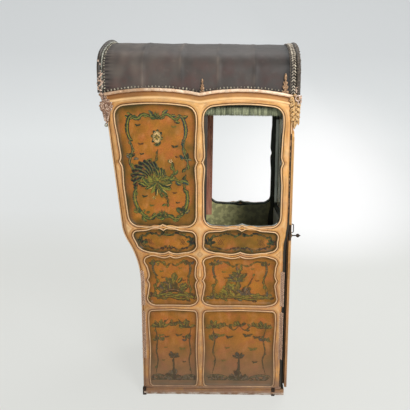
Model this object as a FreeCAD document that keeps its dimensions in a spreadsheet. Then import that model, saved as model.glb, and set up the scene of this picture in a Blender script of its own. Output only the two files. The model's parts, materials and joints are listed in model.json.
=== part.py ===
"""Sedan chair: a carried one-seat cabin with a front door and a lift-up vaulted roof.

Millimetres and degrees. +X runs to the front, where the door is, +Y to the chair's left
and +Z up. The origin is on the floor under the middle of the overall box.
"""
import FreeCAD, Part
import math
import os
from FreeCAD import Matrix, Placement, Rotation, Vector

# alias, value, what it is
SIZES = (
    ("side_half_width", 325, "middle of the cabin to the outer face of a side frame"),
    ("side_thickness", 26, "side frame, outer face to inner face"),
    ("back_thickness", 24, "back frame, outer face to inner face"),
    ("panel_recess", 6, "panel face below the frame face"),
    ("panel_thickness", 9, "lacquered panel"),
    ("rebate", 8, "panel edge held behind the frame"),
    ("panel_fit", 0.3, "clearance round a panel in its rebate"),
    ("rear_face_x", -282, "rear face of the lower body"),
    ("front_face_x", 392, "front face of the lower body"),
    ("front_step", 14, "upper front face ahead of the lower one"),
    ("rear_post_width", 36, "rear corner post, seen from the side"),
    ("back_stile_width", 36, "rear corner post, seen from behind"),
    ("middle_post_width", 38, "middle post, seen from the side"),
    ("middle_post_x", -4, "centre line of the middle post"),
    ("front_post_width", 40, "front corner post, seen from the side"),
    ("front_post_depth", 38, "front corner post, seen from the front"),
    ("foot_height", 4, "iron shoe under the sill frame"),
    ("sill_height", 34, "top of the sill frame above the floor"),
    ("sill_proud", 5, "sill frame beyond the wall faces"),
    ("sill_width", 42, "sill frame timber, plan width"),
    ("floor_thickness", 16, "floor board"),
    ("sill_rail_top", 48, "lower edge of the lowest panels"),
    ("lower_rail_z", 438, "underside of the rail at seat height"),
    ("lower_rail_width", 36, "rail at seat height"),
    ("belt_height", 97, "opening of the belt panels, foot to head"),
    ("belt_rail_width", 30, "rail below the belt panels"),
    ("waist_rail_z", 829, "underside of the rail below the window"),
    ("waist_rail_width", 27, "rail below the window"),
    ("head_spring", 1388, "corner height of the window head"),
    ("head_rise", 16, "window head, middle above its corners"),
    ("sill_drop", 14, "window sill cusp below its ends"),
    ("cusp", 5, "cusp where two mouldings meet on the smaller panels"),
    ("wave", 3, "swell of each half edge beside a cusp"),
    ("head_corner", 40, "corner radius of the window and upper panel"),
    ("belt_corner", 24, "corner radius of the belt panels"),
    ("middle_corner", 20, "corner radius of the middle panels"),
    ("lower_corner", 14, "corner radius of the lowest panels"),
    ("sweep_low_z", 575, "height where the rear edge starts to sweep back"),
    ("sweep_mid_z", 777, "height of the steepest sweep"),
    ("sweep_top_z", 855, "height where the sweep settles into the flare"),
    ("sweep_angle", 31, "steepest lean of the rear edge, degrees"),
    ("flare_angle", 5.9, "lean of the upper rear edge, degrees"),
    ("step_start", 742, "height where the front edge starts to step forward"),
    ("step_end", 862, "height where the front edge is upright again"),
    ("wall_rise", 58, "top of the corner posts above the window head"),
    ("arch_rise", 82, "crown of each serpentine arch of the side cornice above the window head"),
    ("dip_rise", 63, "dip of the side cornice over the middle post above the window head"),
    ("cornice_drop", 38, "lowest part of the cornice rail, in its corners, below the window head"),
    ("header_rise", 14, "underside of the front header above the window head"),
    ("header_thickness", 30, "front header, outer face to inner face"),
    ("end_cornice_height", 26, "projecting moulding at the two ends"),
    ("lid_gap", 1.5, "roof above what it rests on"),
    ("vault_inset", 9, "roof shell inside the side faces"),
    ("vault_thickness", 12, "roof shell"),
    ("spring_rise", 152, "start of the roof shell's curve above the window head"),
    ("vault_rise", 155, "crown of the roof shell above its spring"),
    ("vault_haunch", 100, "radius of the roof shell's haunches"),
    ("rear_pediment_proud", 18, "rear end frame beyond the roof shell"),
    ("front_pediment_proud", 10, "front end frame beyond the roof shell"),
    ("pediment_thickness", 22, "end frames of the roof, front to back"),
    ("pediment_width", 26, "visible width of an end frame"),
    ("pediment_panel", 8, "board inside an end frame"),
    ("roof_rear_x", -456, "rear face of the roof"),
    ("roof_front_x", 440, "front face of the roof"),
    ("carving_proud", 12, "corner carvings beyond the side faces"),
    ("carving_width", 40, "corner carvings, seen from the front"),
    ("carving_drop", 83, "lower tip of the corner carvings below the window head"),
    ("carving_inset", 26, "corner carvings over the side faces"),
    ("carving_reach", 30, "front carvings ahead of the post"),
    ("finial_width", 36, "gilt leaf spray on the cornice"),
    ("finial_thickness", 11, "gilt leaf spray, through"),
    ("finial_overhang", 7, "gilt leaf spray beyond the side face"),
    ("middle_finial_x", 8, "centre of the middle leaf spray"),
    ("middle_finial_height", 62, "middle leaf spray"),
    ("front_finial_x", 372, "centre of the front leaf spray"),
    ("front_finial_height", 92, "front leaf spray"),
    ("door_gap", 3, "closed door leaf ahead of the posts"),
    ("door_lip", 10, "thickness of the door's overlapping lip"),
    ("door_step", 20, "thickness of the door behind its lip"),
    ("door_lip_inset", 9, "edge of the door's lip inside the side faces"),
    ("door_shoulder_draw", 48, "the lip drawn in between the carvings, each side"),
    ("shoulder_drop", 96, "place below the window head where the door's lip draws in"),
    ("door_clear", 5, "door clear of the frame round it"),
    ("door_overlap", 12, "door lip over the header"),
    ("door_stile", 80, "door stile, from the lip's edge"),
    ("door_bottom_rail", 70, "door rail at the foot"),
    ("door_head_drop", 26, "corners of the door window head below the side window's"),
    ("glass_thickness", 4, "door window pane"),
    ("lining_thickness", 6, "padded cloth lining"),
    ("soft_clear", 0.3, "clearance round soft pieces"),
    ("seat_top", 438, "top of the seat board"),
    ("seat_thickness", 20, "seat board"),
    ("seat_front_x", 148, "front edge of the seat"),
    ("riser_thickness", 18, "upright board under the seat"),
    ("cushion_height", 52, "seat cushion"),
    ("cushion_clear", 2, "back lining above the cushion"),
    ("cushion_inset", 8, "seat cushion short of the seat's edges"),
    ("cushion_round", 18, "rounding of the cushion"),
    ("strap_width", 16, "iron shoe strap at each corner"),
    ("strap_thickness", 3, "iron shoe strap"),
    ("strap_height", 42, "iron shoe strap up the sill"),
    ("shoe_length", 34, "iron shoe under the sill, inwards"),
    ("rear_strap_x", -278, "centre of the rear shoe straps"),
    ("front_strap_x", 353, "centre of the front shoe straps"),
    ("pole_bolt_z", 452, "height of the bolts that held the pole irons"),
    ("rear_pole_bolt_x", -262, "rear pole iron bolts"),
    ("front_pole_bolt_x", 366, "front pole iron bolts"),
    ("bolt_plate", 22, "square plate under a pole iron bolt"),
    ("bolt_plate_thickness", 2, "plate under a pole iron bolt"),
    ("bolt_head", 6, "radius of a pole iron bolt's head"),
    ("hinge_radius", 6, "outer radius of a door hinge knuckle"),
    ("pin_radius", 2.5, "hinge pin"),
    ("pin_clear", 0.1, "running clearance round a hinge pin"),
    ("knuckle", 20, "length of a hinge knuckle"),
    ("knuckle_gap", 0.5, "gap between hinge knuckles"),
    ("hinge_plate", 3, "thickness of a hinge leaf"),
    ("hinge_leaf", 36, "width of a hinge leaf"),
    ("tool_margin", 10, "cutting tools beyond what they cut"),
    ("door_hinge_low", 230, "height of the lowest door hinge"),
    ("door_hinge_head", 135, "foot of the highest door hinge below the carvings"),
    ("door_pin_set", 4, "door hinge axis behind the door's face"),
    ("roof_hinge_radius", 4.5, "outer radius of a roof hinge knuckle"),
    ("roof_hinge_y", 170, "roof hinges from the middle"),
    ("latch_z", 806, "height of the door knob"),
    ("latch_inset", 16, "door knob from the edge of the door's lip"),
    ("knob_reach", 47, "tip of the door knob ahead of the door's face"),
    ("knob_length", 22, "head of the door knob"),
    ("knob_radius", 8.5, "head of the door knob"),
    ("spindle_radius", 2.8, "shaft of the door knob"),
    ("rosette_radius", 11.05, "rosette behind the door knob"),
    ("rosette_rim", 2, "thickness of the rosette at its rim"),
    ("rosette_height", 7, "rosette, door face to spindle"),
    ("pull_clear", 1, "bail pull's rod above the rosette"),
    ("pull_height", 40, "bail pull, rod to rod"),
    ("pull_projection", 12, "bail pull off the door face"),
    ("pull_radius", 2.2, "rod of the bail pull"),
    ("lock_plate_height", 74, "iron plate on the door's free edge"),
    ("lock_plate", 2.5, "thickness of the iron plates at the latch"),
    ("keeper_width", 10, "iron plate on the post beside the latch"),
)

document = FreeCAD.newDocument("SedanChair")
sheet = document.addObject("Spreadsheet::Sheet", "Sizes")
for row, (alias, value, meaning) in enumerate(SIZES, start=1):
    sheet.set(f"A{row}", alias)
    sheet.set(f"B{row}", str(value))
    sheet.setAlias(f"B{row}", alias)
    sheet.set(f"C{row}", meaning)
document.recompute()

NODES = []


def mm(alias):
    """A size from the sheet."""
    return float(sheet.get(alias))


def above_head(alias):
    """Height of what stands a size above the corners of the window head."""
    return mm("head_spring") + mm(alias)


def below_head(alias):
    """Height of what lies a size below the corners of the window head."""
    return mm("head_spring") - mm(alias)


# ---------------------------------------------------------------- outlines

class Profile:
    """An upright edge of tangent straights and arcs, read from the bottom up."""

    def __init__(self, x, z):
        self.pieces = []
        self.x = x
        self.z = z
        self.lean = 0.0

    def rise(self, height, lean=None):
        """Climbs by a height and ends with a lean, in degrees towards -X."""
        end_lean = self.lean if lean is None else math.radians(lean)
        self.pieces.append((self.z, self.z + height, self.x, self.lean, end_lean))
        self.z += height
        self.x = self.x_at(self.z)
        self.lean = end_lean

    def x_at(self, z):
        """Where the edge is at one height."""
        for low, high, x, lean, end_lean in self.pieces:
            if z <= high:
                break
        if lean == end_lean:
            return x - (z - low) * math.tan(lean)
        radius = (high - low) / (math.sin(end_lean) - math.sin(lean))
        here = math.asin(math.sin(lean) + (z - low) / radius)
        return x + radius * (math.cos(here) - math.cos(lean))

    def stretches(self, low_z, high_z):
        """(bottom, middle or None, top) of each stretch between two heights."""
        found = []
        for low, high, x, lean, end_lean in self.pieces:
            low, high = max(low, low_z), min(high, high_z)
            if high - low < 1e-6:
                continue
            middle = None
            if lean != end_lean:
                middle = (self.x_at((low + high) / 2), (low + high) / 2)
            found.append(((self.x_at(low), low), middle, (self.x_at(high), high)))
        return found


class Outline:
    """A closed outline in the XZ plane, drawn point by point."""

    def __init__(self, x, z):
        self.start = Vector(x, 0, z)
        self.pen = self.start
        self.edges = []

    def line(self, x, z):
        target = Vector(x, 0, z)
        if (target - self.pen).Length > 1e-6:
            self.edges.append(Part.LineSegment(self.pen, target).toShape())
            self.pen = target
        return self

    def arc(self, through_x, through_z, x, z):
        target = Vector(x, 0, z)
        through = Vector(through_x, 0, through_z)
        self.edges.append(Part.Arc(self.pen, through, target).toShape())
        self.pen = target
        return self

    def up(self, profile, low_z, high_z, shift=0.0):
        """Follows a profile upwards, shifted along X."""
        for low, middle, high in profile.stretches(low_z, high_z):
            self.line(low[0] + shift, low[1])
            if middle is None:
                self.line(high[0] + shift, high[1])
            else:
                self.arc(middle[0] + shift, middle[1], high[0] + shift, high[1])
        return self

    def down(self, profile, low_z, high_z, shift=0.0):
        """Follows a profile downwards, shifted along X."""
        for low, middle, high in reversed(profile.stretches(low_z, high_z)):
            self.line(high[0] + shift, high[1])
            if middle is None:
                self.line(low[0] + shift, low[1])
            else:
                self.arc(middle[0] + shift, middle[1], low[0] + shift, low[1])
        return self

    def wire(self):
        self.line(self.start.x, self.start.z)
        return Part.Wire(self.edges)

    def slab(self, y_low, y_high):
        """The outline as a solid between two planes."""
        face = Part.Face(self.wire())
        face.translate(Vector(0, y_low, 0))
        return face.extrude(Vector(0, y_high - y_low, 0))


def block(x_low, x_high, y_low, y_high, z_low, z_high):
    """A box between six planes."""
    corner = Vector(x_low, y_low, z_low)
    return Part.makeBox(x_high - x_low, y_high - y_low, z_high - z_low, corner)


def turned_to_front(shape):
    """Turns a shape drawn in the side plane to the front plane: X becomes Y, -Y becomes X."""
    return shape.transformed(Placement(Vector(), Rotation(Vector(0, 0, 1), 90)).toMatrix(), copy=True)


def mirrored(shape):
    """The same shape on the chair's other side."""
    return shape.mirror(Vector(0, 0, 0), Vector(0, 1, 0))


def upright_edges(solid, places):
    """The solid's edges along Y that pass through the given (x, z) places."""
    found = []
    for edge in solid.Edges:
        first, last = edge.Vertexes[0].Point, edge.Vertexes[-1].Point
        if abs(first.x - last.x) > 1e-4 or abs(first.z - last.z) > 1e-4:
            continue
        if any(math.hypot(first.x - x, first.z - z) < 1e-3 for x, z in places):
            found.append(edge)
    return found


def rear_edge(top):
    """The side view's rear edge: upright, swept back, then flared."""
    profile = Profile(mm("rear_face_x"), mm("sill_height"))
    profile.rise(mm("sweep_low_z") - mm("sill_height"))
    profile.rise(mm("sweep_mid_z") - mm("sweep_low_z"), mm("sweep_angle"))
    profile.rise(mm("sweep_top_z") - mm("sweep_mid_z"), mm("flare_angle"))
    profile.rise(top - mm("sweep_top_z"))
    return profile


def front_edge(top):
    """The side view's front edge, which steps forward above the belt."""
    half = (mm("step_end") - mm("step_start")) / 2
    lean = -2 * math.degrees(math.atan(mm("front_step") / 2 / half))
    profile = Profile(mm("front_face_x"), mm("sill_height"))
    profile.rise(mm("step_start") - mm("sill_height"))
    profile.rise(half, lean)
    profile.rise(half, 0)
    profile.rise(top - mm("step_end"))
    return profile


def straight_edge(x, top):
    """An upright straight edge."""
    profile = Profile(x, 0)
    profile.rise(top)
    return profile


def panel_rows():
    """name, foot, head, rise at the head's middle, drop at the foot's middle, corner radius, arched"""
    lower_rail_top = mm("lower_rail_z") + mm("lower_rail_width")
    belt_rail_top = mm("waist_rail_z") - mm("belt_height")
    belt_rail_foot = belt_rail_top - mm("belt_rail_width")
    waist_rail_top = mm("waist_rail_z") + mm("waist_rail_width")
    cusp = mm("cusp")
    return (
        ("upper", waist_rail_top, mm("head_spring"), mm("head_rise"), mm("sill_drop"),
         mm("head_corner"), True),
        ("belt", belt_rail_top, mm("waist_rail_z"), -cusp, -cusp, mm("belt_corner"), False),
        ("middle", lower_rail_top, belt_rail_foot, -cusp, 0, mm("middle_corner"), False),
        ("lower", mm("sill_rail_top"), mm("lower_rail_z"), 0, 0, mm("lower_corner"), False),
    )


def opening(left, left_shift, right, right_shift, row, grow, y_low, y_high):
    """A framed opening between two upright edges, grown evenly by a margin."""
    name, foot, head, rise, drop, corner, arched = row
    foot, head = foot - grow, head + grow
    left_shift, right_shift = left_shift - grow, right_shift + grow
    left_foot, right_foot = left.x_at(foot) + left_shift, right.x_at(foot) + right_shift
    left_head, right_head = left.x_at(head) + left_shift, right.x_at(head) + right_shift
    wave = mm("wave")
    outline = Outline(left_foot, foot).up(left, foot, head, left_shift)
    middle = (left_head + right_head) / 2
    if arched:
        outline.arc(middle, head + rise, right_head, head)
    elif rise:
        outline.arc((left_head + middle) / 2, head + rise / 2 + wave, middle, head + rise)
        outline.arc((right_head + middle) / 2, head + rise / 2 + wave, right_head, head)
    outline.down(right, foot, head, right_shift)
    middle = (left_foot + right_foot) / 2
    if drop:
        outline.arc((right_foot + middle) / 2, foot - drop / 2 + wave * math.copysign(1, drop),
                    middle, foot - drop)
        outline.arc((left_foot + middle) / 2, foot - drop / 2 + wave * math.copysign(1, drop),
                    left_foot, foot)
    solid = outline.slab(y_low, y_high)
    corners = ((left_foot, foot), (right_foot, foot), (left_head, head), (right_head, head))
    return solid.makeFillet(corner + grow, upright_edges(solid, corners))


def cornice_line(outline, rise=0.0):
    """Draws the serpentine top of a side frame from the rear post to the front post."""
    x_rear = rear_edge(above_head("wall_rise")).x
    x_front = front_edge(above_head("wall_rise")).x
    x_middle = mm("middle_post_x")
    ends, crown = above_head("wall_rise") + rise, above_head("arch_rise") + rise
    dip = above_head("dip_rise") + rise
    outline.line(x_rear, ends)
    outline.arc((x_rear + x_middle) / 2, crown, x_middle, dip)
    outline.arc((x_middle + x_front) / 2, crown, x_front, ends)
    return outline


def side_plate(y_low, y_high):
    """The whole side frame before it is cut into posts and rails."""
    top = above_head("wall_rise")
    outline = Outline(mm("rear_face_x"), mm("sill_height"))
    outline.up(rear_edge(top), mm("sill_height"), top)
    cornice_line(outline)
    outline.down(front_edge(top), mm("sill_height"), top)
    return outline.slab(y_low, y_high)


def strip(profile, near_shift, far_shift, y_low, y_high):
    """The band between two copies of an upright edge, shifted along X."""
    low, top = profile.pieces[0][0], profile.z
    outline = Outline(profile.x_at(low) + near_shift, low).up(profile, low, top, near_shift)
    outline.line(profile.x_at(top) + far_shift, top)
    outline.down(profile, low, top, far_shift)
    return outline.slab(y_low, y_high)


# ---------------------------------------------------------------- document objects

def shaped(label, shape):
    """A sub-part whose shape is worked out here from the sheet."""
    feature = document.addObject("Part::Feature", label)
    feature.Shape = shape
    feature.Label = label
    feature.Placement = Placement()
    NODES.append(feature)
    return feature


def bound_box(name, length, width, height, corner):
    """A Part::Box with its sizes and corner bound to the sheet."""
    box = document.addObject("Part::Box", name)
    for side, expression in (("Length", length), ("Width", width), ("Height", height)):
        box.setExpression(side, expression)
    for axis, expression in zip("xyz", corner):
        box.setExpression(f"Placement.Base.{axis}", expression)
    return box


def boolean(kind, label, base, tool):
    """A Part::Cut, Part::Fuse or Part::Common of two objects."""
    result = document.addObject(f"Part::{kind}", label)
    result.Base = base
    result.Tool = tool
    result.Label = label
    return result


def origin_plane(body, role):
    """One of a body's own origin planes."""
    return next(item for item in body.Origin.OriginFeatures if item.Role == role)


def sketch(body, role, name, wires, offset):
    """A sketch on an origin plane, set along the plane's normal by an expression."""
    item = body.newObject("Sketcher::SketchObject", name)
    item.AttachmentSupport = [(origin_plane(body, role), "")]
    item.MapMode = "FlatFace"
    item.setExpression("AttachmentOffset.Base.z", offset)
    for wire in wires:
        for edge in wire.Edges:
            flat = edge.copy()
            # outlines are drawn in XZ, and a sketch's own plane is XY
            flat.rotate(Vector(0, 0, 0), Vector(1, 0, 0), -90)
            ends = [vertex.Point for vertex in flat.Vertexes]
            if isinstance(flat.Curve, Part.Line):
                item.addGeometry(Part.LineSegment(ends[0], ends[-1]), False)
            else:
                middle = flat.valueAt((flat.FirstParameter + flat.LastParameter) / 2)
                item.addGeometry(Part.Arc(ends[0], middle, ends[-1]), False)
    return item


def pad(body, profile_sketch, name, length):
    """Pads a sketch along its normal by an expression."""
    feature = body.newObject("PartDesign::Pad", name)
    feature.Profile = profile_sketch
    feature.setExpression("Length", length)
    return feature


def pocket(body, profile_sketch, name, length):
    """Cuts a sketch against its normal by an expression, and checks that it cut."""
    document.recompute()
    before = body.Shape.Volume
    feature = body.newObject("PartDesign::Pocket", name)
    feature.Profile = profile_sketch
    feature.setExpression("Length", length)
    document.recompute()
    if body.Shape.Volume > before - 1:
        raise RuntimeError(f"{name} cut nothing")
    return feature


def new_body(label):
    body = document.addObject("PartDesign::Body", label)
    body.Label = label
    NODES.append(body)
    return body


# ---------------------------------------------------------------- sill frame and floor

def make_base():
    outer = bound_box(
        "SillOuter",
        "Sizes.front_face_x + Sizes.front_step - Sizes.rear_face_x + Sizes.sill_proud",
        "2 * (Sizes.side_half_width + Sizes.sill_proud)",
        "Sizes.sill_height - Sizes.foot_height",
        ("Sizes.rear_face_x - Sizes.sill_proud",
         "-Sizes.side_half_width - Sizes.sill_proud", "Sizes.foot_height"))
    inner = bound_box(
        "SillInner",
        "Sizes.front_face_x + Sizes.front_step - Sizes.rear_face_x + Sizes.sill_proud"
        " - 2 * Sizes.sill_width",
        "2 * (Sizes.side_half_width + Sizes.sill_proud - Sizes.sill_width)",
        "Sizes.sill_height",
        ("Sizes.rear_face_x - Sizes.sill_proud + Sizes.sill_width",
         "-Sizes.side_half_width - Sizes.sill_proud + Sizes.sill_width", "0"))
    NODES.append(boolean("Cut", "base_frame", outer, inner))
    floor = bound_box(
        "floor_board",
        "Sizes.front_face_x + Sizes.front_step - Sizes.rear_face_x + Sizes.sill_proud"
        " - 2 * Sizes.sill_width",
        "2 * (Sizes.side_half_width + Sizes.sill_proud - Sizes.sill_width)",
        "Sizes.floor_thickness",
        ("Sizes.rear_face_x - Sizes.sill_proud + Sizes.sill_width",
         "-Sizes.side_half_width - Sizes.sill_proud + Sizes.sill_width",
         "Sizes.sill_height - Sizes.floor_thickness"))
    NODES.append(floor)


def make_feet():
    """Four iron shoes: a strap up the sill and a plate under it."""
    half = mm("strap_width") / 2
    face = mm("side_half_width") + mm("sill_proud")
    outer = face + mm("strap_thickness")
    shoes = []
    for x in (mm("rear_strap_x"), mm("front_strap_x")):
        strap = block(x - half, x + half, -outer, -face, 0, mm("strap_height"))
        plate = block(x - half, x + half, -outer, -face + mm("shoe_length"), 0, mm("foot_height"))
        shoe = strap.fuse(plate).removeSplitter()
        shoes += [shoe, mirrored(shoe)]
    shaped("iron_feet", Part.makeCompound(shoes))


# ---------------------------------------------------------------- side frames

def bays():
    """The two spaces between the posts: left edge, its shift, right edge, its shift."""
    top = above_head("arch_rise")
    middle = straight_edge(mm("middle_post_x"), top)
    half_post = mm("middle_post_width") / 2
    return (
        (rear_edge(top), mm("rear_post_width"), middle, -half_post),
        (middle, half_post, front_edge(top), -mm("front_post_width")),
    )


def make_side():
    """One side frame cut into posts and rails, with its panels, and its mirror image."""
    outer, inner = -mm("side_half_width"), mm("side_thickness") - mm("side_half_width")
    back = outer + mm("panel_recess")
    plate = side_plate(outer, inner)
    panels = {"upper": [], "lower": []}
    for number, bay in enumerate(bays()):
        for row in panel_rows():
            plate = plate.cut(opening(*bay, row, 0, outer, inner))
            if number == 1 and row[0] == "upper":
                continue
            plate = plate.cut(opening(*bay, row, mm("rebate"), back, inner))
            panel = opening(*bay, row, mm("rebate") - mm("panel_fit"),
                            back, back + mm("panel_thickness"))
            panels["upper" if row[0] == "upper" else "lower"].append(panel)
    top = above_head("arch_rise")
    half_post = mm("middle_post_width") / 2
    x_middle = mm("middle_post_x")
    rear = strip(rear_edge(top), 0, mm("rear_post_width"), outer, inner)
    front = strip(front_edge(top), -mm("front_post_width"), 0, outer, inner)
    middle = block(x_middle - half_post, x_middle + half_post, outer, inner,
                   mm("sill_height"), below_head("cornice_drop"))
    stile = strip(rear_edge(above_head("wall_rise")), 0, mm("back_thickness"),
                  inner, outer + mm("back_stile_width"))
    cheek = strip(front_edge(above_head("wall_rise")), -mm("front_post_width"), 0,
                  inner, outer + mm("front_post_depth"))
    rear_post = plate.common(rear).fuse(stile.cut(back_tools())).removeSplitter()
    front_post = plate.common(front).fuse(cheek).removeSplitter()
    rest = plate.cut([rear, middle, front])
    rails = [solid for solid in rest.Solids if solid.BoundBox.ZMax < mm("head_spring")]
    cornice = [solid for solid in rest.Solids if solid.BoundBox.ZMax > mm("head_spring")]
    pieces = {
        "rear_post": rear_post,
        "middle_post": plate.common(middle),
        "front_post": front_post,
        "cornice_rail": Part.makeCompound(cornice),
        "side_rails": Part.makeCompound(rails),
        "upper_panel": Part.makeCompound(panels["upper"]),
        "lower_panels": Part.makeCompound(panels["lower"]),
        "side_lining": side_lining(inner),
    }
    for name, shape in pieces.items():
        shaped(f"{name}_right", shape)
        shaped(f"{name}_left", mirrored(shape))


def side_lining(face):
    """The cloth-covered board inside a side frame, cut out round the window."""
    clear = mm("soft_clear")
    top = above_head("wall_rise")
    rear, front = rear_edge(top), front_edge(top)
    low, high = mm("sill_height") + clear, above_head("header_rise") + mm("head_rise")
    rear_shift = mm("back_thickness") + clear
    front_shift = -mm("front_post_width") - clear
    outline = Outline(rear.x_at(low) + rear_shift, low).up(rear, low, high, rear_shift)
    outline.line(front.x_at(high) + front_shift, high)
    outline.down(front, low, high, front_shift)
    board = outline.slab(face + clear, face + clear + mm("lining_thickness"))
    window = opening(*bays()[1], panel_rows()[0], mm("rebate"), face, face + mm("side_thickness"))
    return board.cut(window)


# ---------------------------------------------------------------- back wall

def back_rows():
    """The back wall's openings, in the front plane: half width and panel rows."""
    half = mm("side_half_width") - mm("back_stile_width")
    top = above_head("arch_rise")
    return straight_edge(-half, top), straight_edge(half, top)


def back_opening(row, grow):
    left, right = back_rows()
    depth = mm("side_half_width") * 2
    return turned_to_front(opening(left, 0, right, 0, row, grow, -depth, depth))


def back_tools():
    """What the back panels and their rebates take out of the back frame."""
    behind = strip(rear_edge(above_head("wall_rise")), mm("panel_recess"), mm("back_thickness") + 1,
                   -mm("side_half_width"), mm("side_half_width"))
    tools = []
    for row in panel_rows():
        tools.append(back_opening(row, 0))
        tools.append(back_opening(row, mm("rebate")).common(behind))
    return tools


def make_back():
    half = mm("side_half_width") - mm("back_stile_width")
    frame = strip(rear_edge(above_head("wall_rise")), 0, mm("back_thickness"), -half, half)
    shaped("back_rails", frame.cut(back_tools()))
    recess = mm("panel_recess")
    board = strip(rear_edge(above_head("wall_rise")), recess, recess + mm("panel_thickness"),
                  -mm("side_half_width"), mm("side_half_width"))
    panels = [board.common(back_opening(row, mm("rebate") - mm("panel_fit")))
              for row in panel_rows()]
    shaped("back_panels", Part.makeCompound(panels))
    make_back_lining()


def inner_half_width():
    """Middle of the cabin to the face of its side lining."""
    return mm("side_half_width") - mm("side_thickness") - mm("soft_clear") - mm("lining_thickness")


def make_back_lining():
    """The padded back rest, above the cushion."""
    half = inner_half_width() - mm("soft_clear")
    shift = mm("back_thickness") + mm("soft_clear")
    rear = rear_edge(above_head("wall_rise"))
    low, high = mm("seat_top") + mm("cushion_height") + mm("cushion_clear"), above_head("header_rise")
    outline = Outline(rear.x_at(low) + shift, low).up(rear, low, high, shift)
    outline.line(rear.x_at(high) + shift + mm("lining_thickness"), high)
    outline.down(rear, low, high, shift + mm("lining_thickness"))
    shaped("back_lining", outline.slab(-half, half))


# ---------------------------------------------------------------- front and ends

def make_header():
    front = mm("front_face_x") + mm("front_step")
    header = bound_box(
        "front_header", "Sizes.header_thickness",
        "2 * (Sizes.side_half_width - Sizes.front_post_depth)",
        "Sizes.wall_rise - Sizes.header_rise",
        ("Sizes.front_face_x + Sizes.front_step - Sizes.header_thickness",
         "-Sizes.side_half_width + Sizes.front_post_depth", "Sizes.head_spring + Sizes.header_rise"))
    NODES.append(header)
    top, height = above_head("wall_rise"), mm("end_cornice_height")
    half = mm("side_half_width") + mm("carving_proud") - mm("carving_width") - 1
    reach = mm("roof_front_x") - front
    cove = Outline(front, top).line(front + reach, top).line(front + reach, top - height / 3)
    cove.arc(front + reach * 0.45, top - height * 0.5, front + reach * 0.15, top - height)
    cove.line(front, top - height)
    rear_profile = rear_edge(top)
    low = top - height
    rear = Outline(rear_profile.x_at(low), low)
    rear.line(rear_profile.x_at(low) - reach * 0.15, low)
    rear.arc((mm("roof_rear_x") + rear_profile.x_at(low)) / 2, top - height * 0.5,
             mm("roof_rear_x"), top - height / 3)
    rear.line(mm("roof_rear_x"), top).line(rear_profile.x_at(top), top)
    shaped("end_cornices", Part.makeCompound([cove.slab(-half, half), rear.slab(-half, half)]))


def make_carvings():
    """Acanthus brackets that wrap the four upper corners."""
    top, tip = above_head("wall_rise"), below_head("carving_drop")
    tall = top - tip
    outer = -mm("side_half_width") - mm("carving_proud")
    inner = outer + mm("carving_width")
    face = -mm("side_half_width")
    post = front_edge(top)
    front_x = post.x
    reach, inset = mm("carving_reach"), mm("carving_inset")
    front = Outline(front_x - inset, top).line(front_x + reach * 0.5, top)
    front.arc(front_x + reach, top - tall * 0.38, front_x + reach * 0.62, top - tall * 0.66)
    front.line(front_x + reach * 0.22, tip).line(front_x, tip)
    front.arc(front_x - inset * 0.8, top - tall * 0.6, front_x - inset, top)
    solid = front.slab(outer, inner).cut(block(0, front_x, face, 0, 0, top))
    rear_profile = rear_edge(top)
    rear_x, foot_x = rear_profile.x, rear_profile.x_at(tip)
    rear = Outline(rear_x + inset * 1.6, top).line(rear_x - reach * 0.6, top)
    rear.arc(rear_x - reach * 0.66, top - tall * 0.42, foot_x - reach * 0.62, top - tall * 0.68)
    rear.line(foot_x - reach * 0.1, tip).line(foot_x + inset * 0.3, tip)
    rear.arc(rear_x + inset, top - tall * 0.6, rear_x + inset * 1.6, top)
    wall = strip(rear_profile, 0, -mm("rear_face_x"), face, 0)
    rear_solid = rear.slab(outer, inner).cut(wall)
    shaped("corner_carvings", Part.makeCompound(
        [solid, mirrored(solid), rear_solid, mirrored(rear_solid)]))


def make_finials():
    """Gilt leaf sprays that stand on the side cornices."""
    half, outer = mm("finial_width") / 2, -mm("side_half_width") - mm("finial_overhang")
    inner = outer + mm("finial_thickness")
    low = above_head("wall_rise")
    below = side_plate(outer - 1, inner + 1)
    sprays = []
    for x, tall in ((mm("middle_finial_x"), mm("middle_finial_height")),
                    (mm("front_finial_x"), mm("front_finial_height"))):
        top = above_head("dip_rise") + tall
        spray = Outline(x - half * 0.5, low)
        spray.arc(x - half, low + tall * 0.45, x - half * 0.45, low + tall * 0.7)
        spray.line(x, top).line(x + half * 0.45, low + tall * 0.7)
        spray.arc(x + half, low + tall * 0.45, x + half * 0.5, low)
        solid = spray.slab(outer, inner).cut(below)
        sprays += [solid, mirrored(solid)]
    shaped("cornice_finials", Part.makeCompound(sprays))


# ---------------------------------------------------------------- roof

def arch(half, spring, rise, haunch, foot):
    """A three-centred arch on a straight foot, or cut off level at a foot above its spring."""
    crown = (half ** 2 + rise ** 2 - 2 * half * haunch) / (2 * (rise - haunch))
    centre_x, centre_z = half - haunch, spring + rise - crown
    angle = math.atan2(spring - centre_z, centre_x)
    meet_x, meet_z = crown * math.cos(angle), centre_z + crown * math.sin(angle)
    start = math.asin(max(foot - spring, 0) / haunch)
    low_x, low_z = centre_x + haunch * math.cos(start), spring + haunch * math.sin(start)
    middle = (start + angle) / 2
    side_x, side_z = centre_x + haunch * math.cos(middle), spring + haunch * math.sin(middle)
    outline = Outline(low_x, foot)
    if foot < spring:
        outline.line(low_x, low_z)
    outline.arc(side_x, side_z, meet_x, meet_z)
    outline.arc(0, spring + rise, -meet_x, meet_z)
    outline.arc(-side_x, side_z, -low_x, low_z)
    if foot < spring:
        outline.line(-low_x, foot)
    return outline


def vault_arch(grow, foot):
    """The roof shell's outer arch, grown evenly by a margin."""
    return arch(mm("side_half_width") - mm("vault_inset") + grow, above_head("spring_rise"),
                mm("vault_rise") + grow, mm("vault_haunch") + grow, foot)


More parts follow.
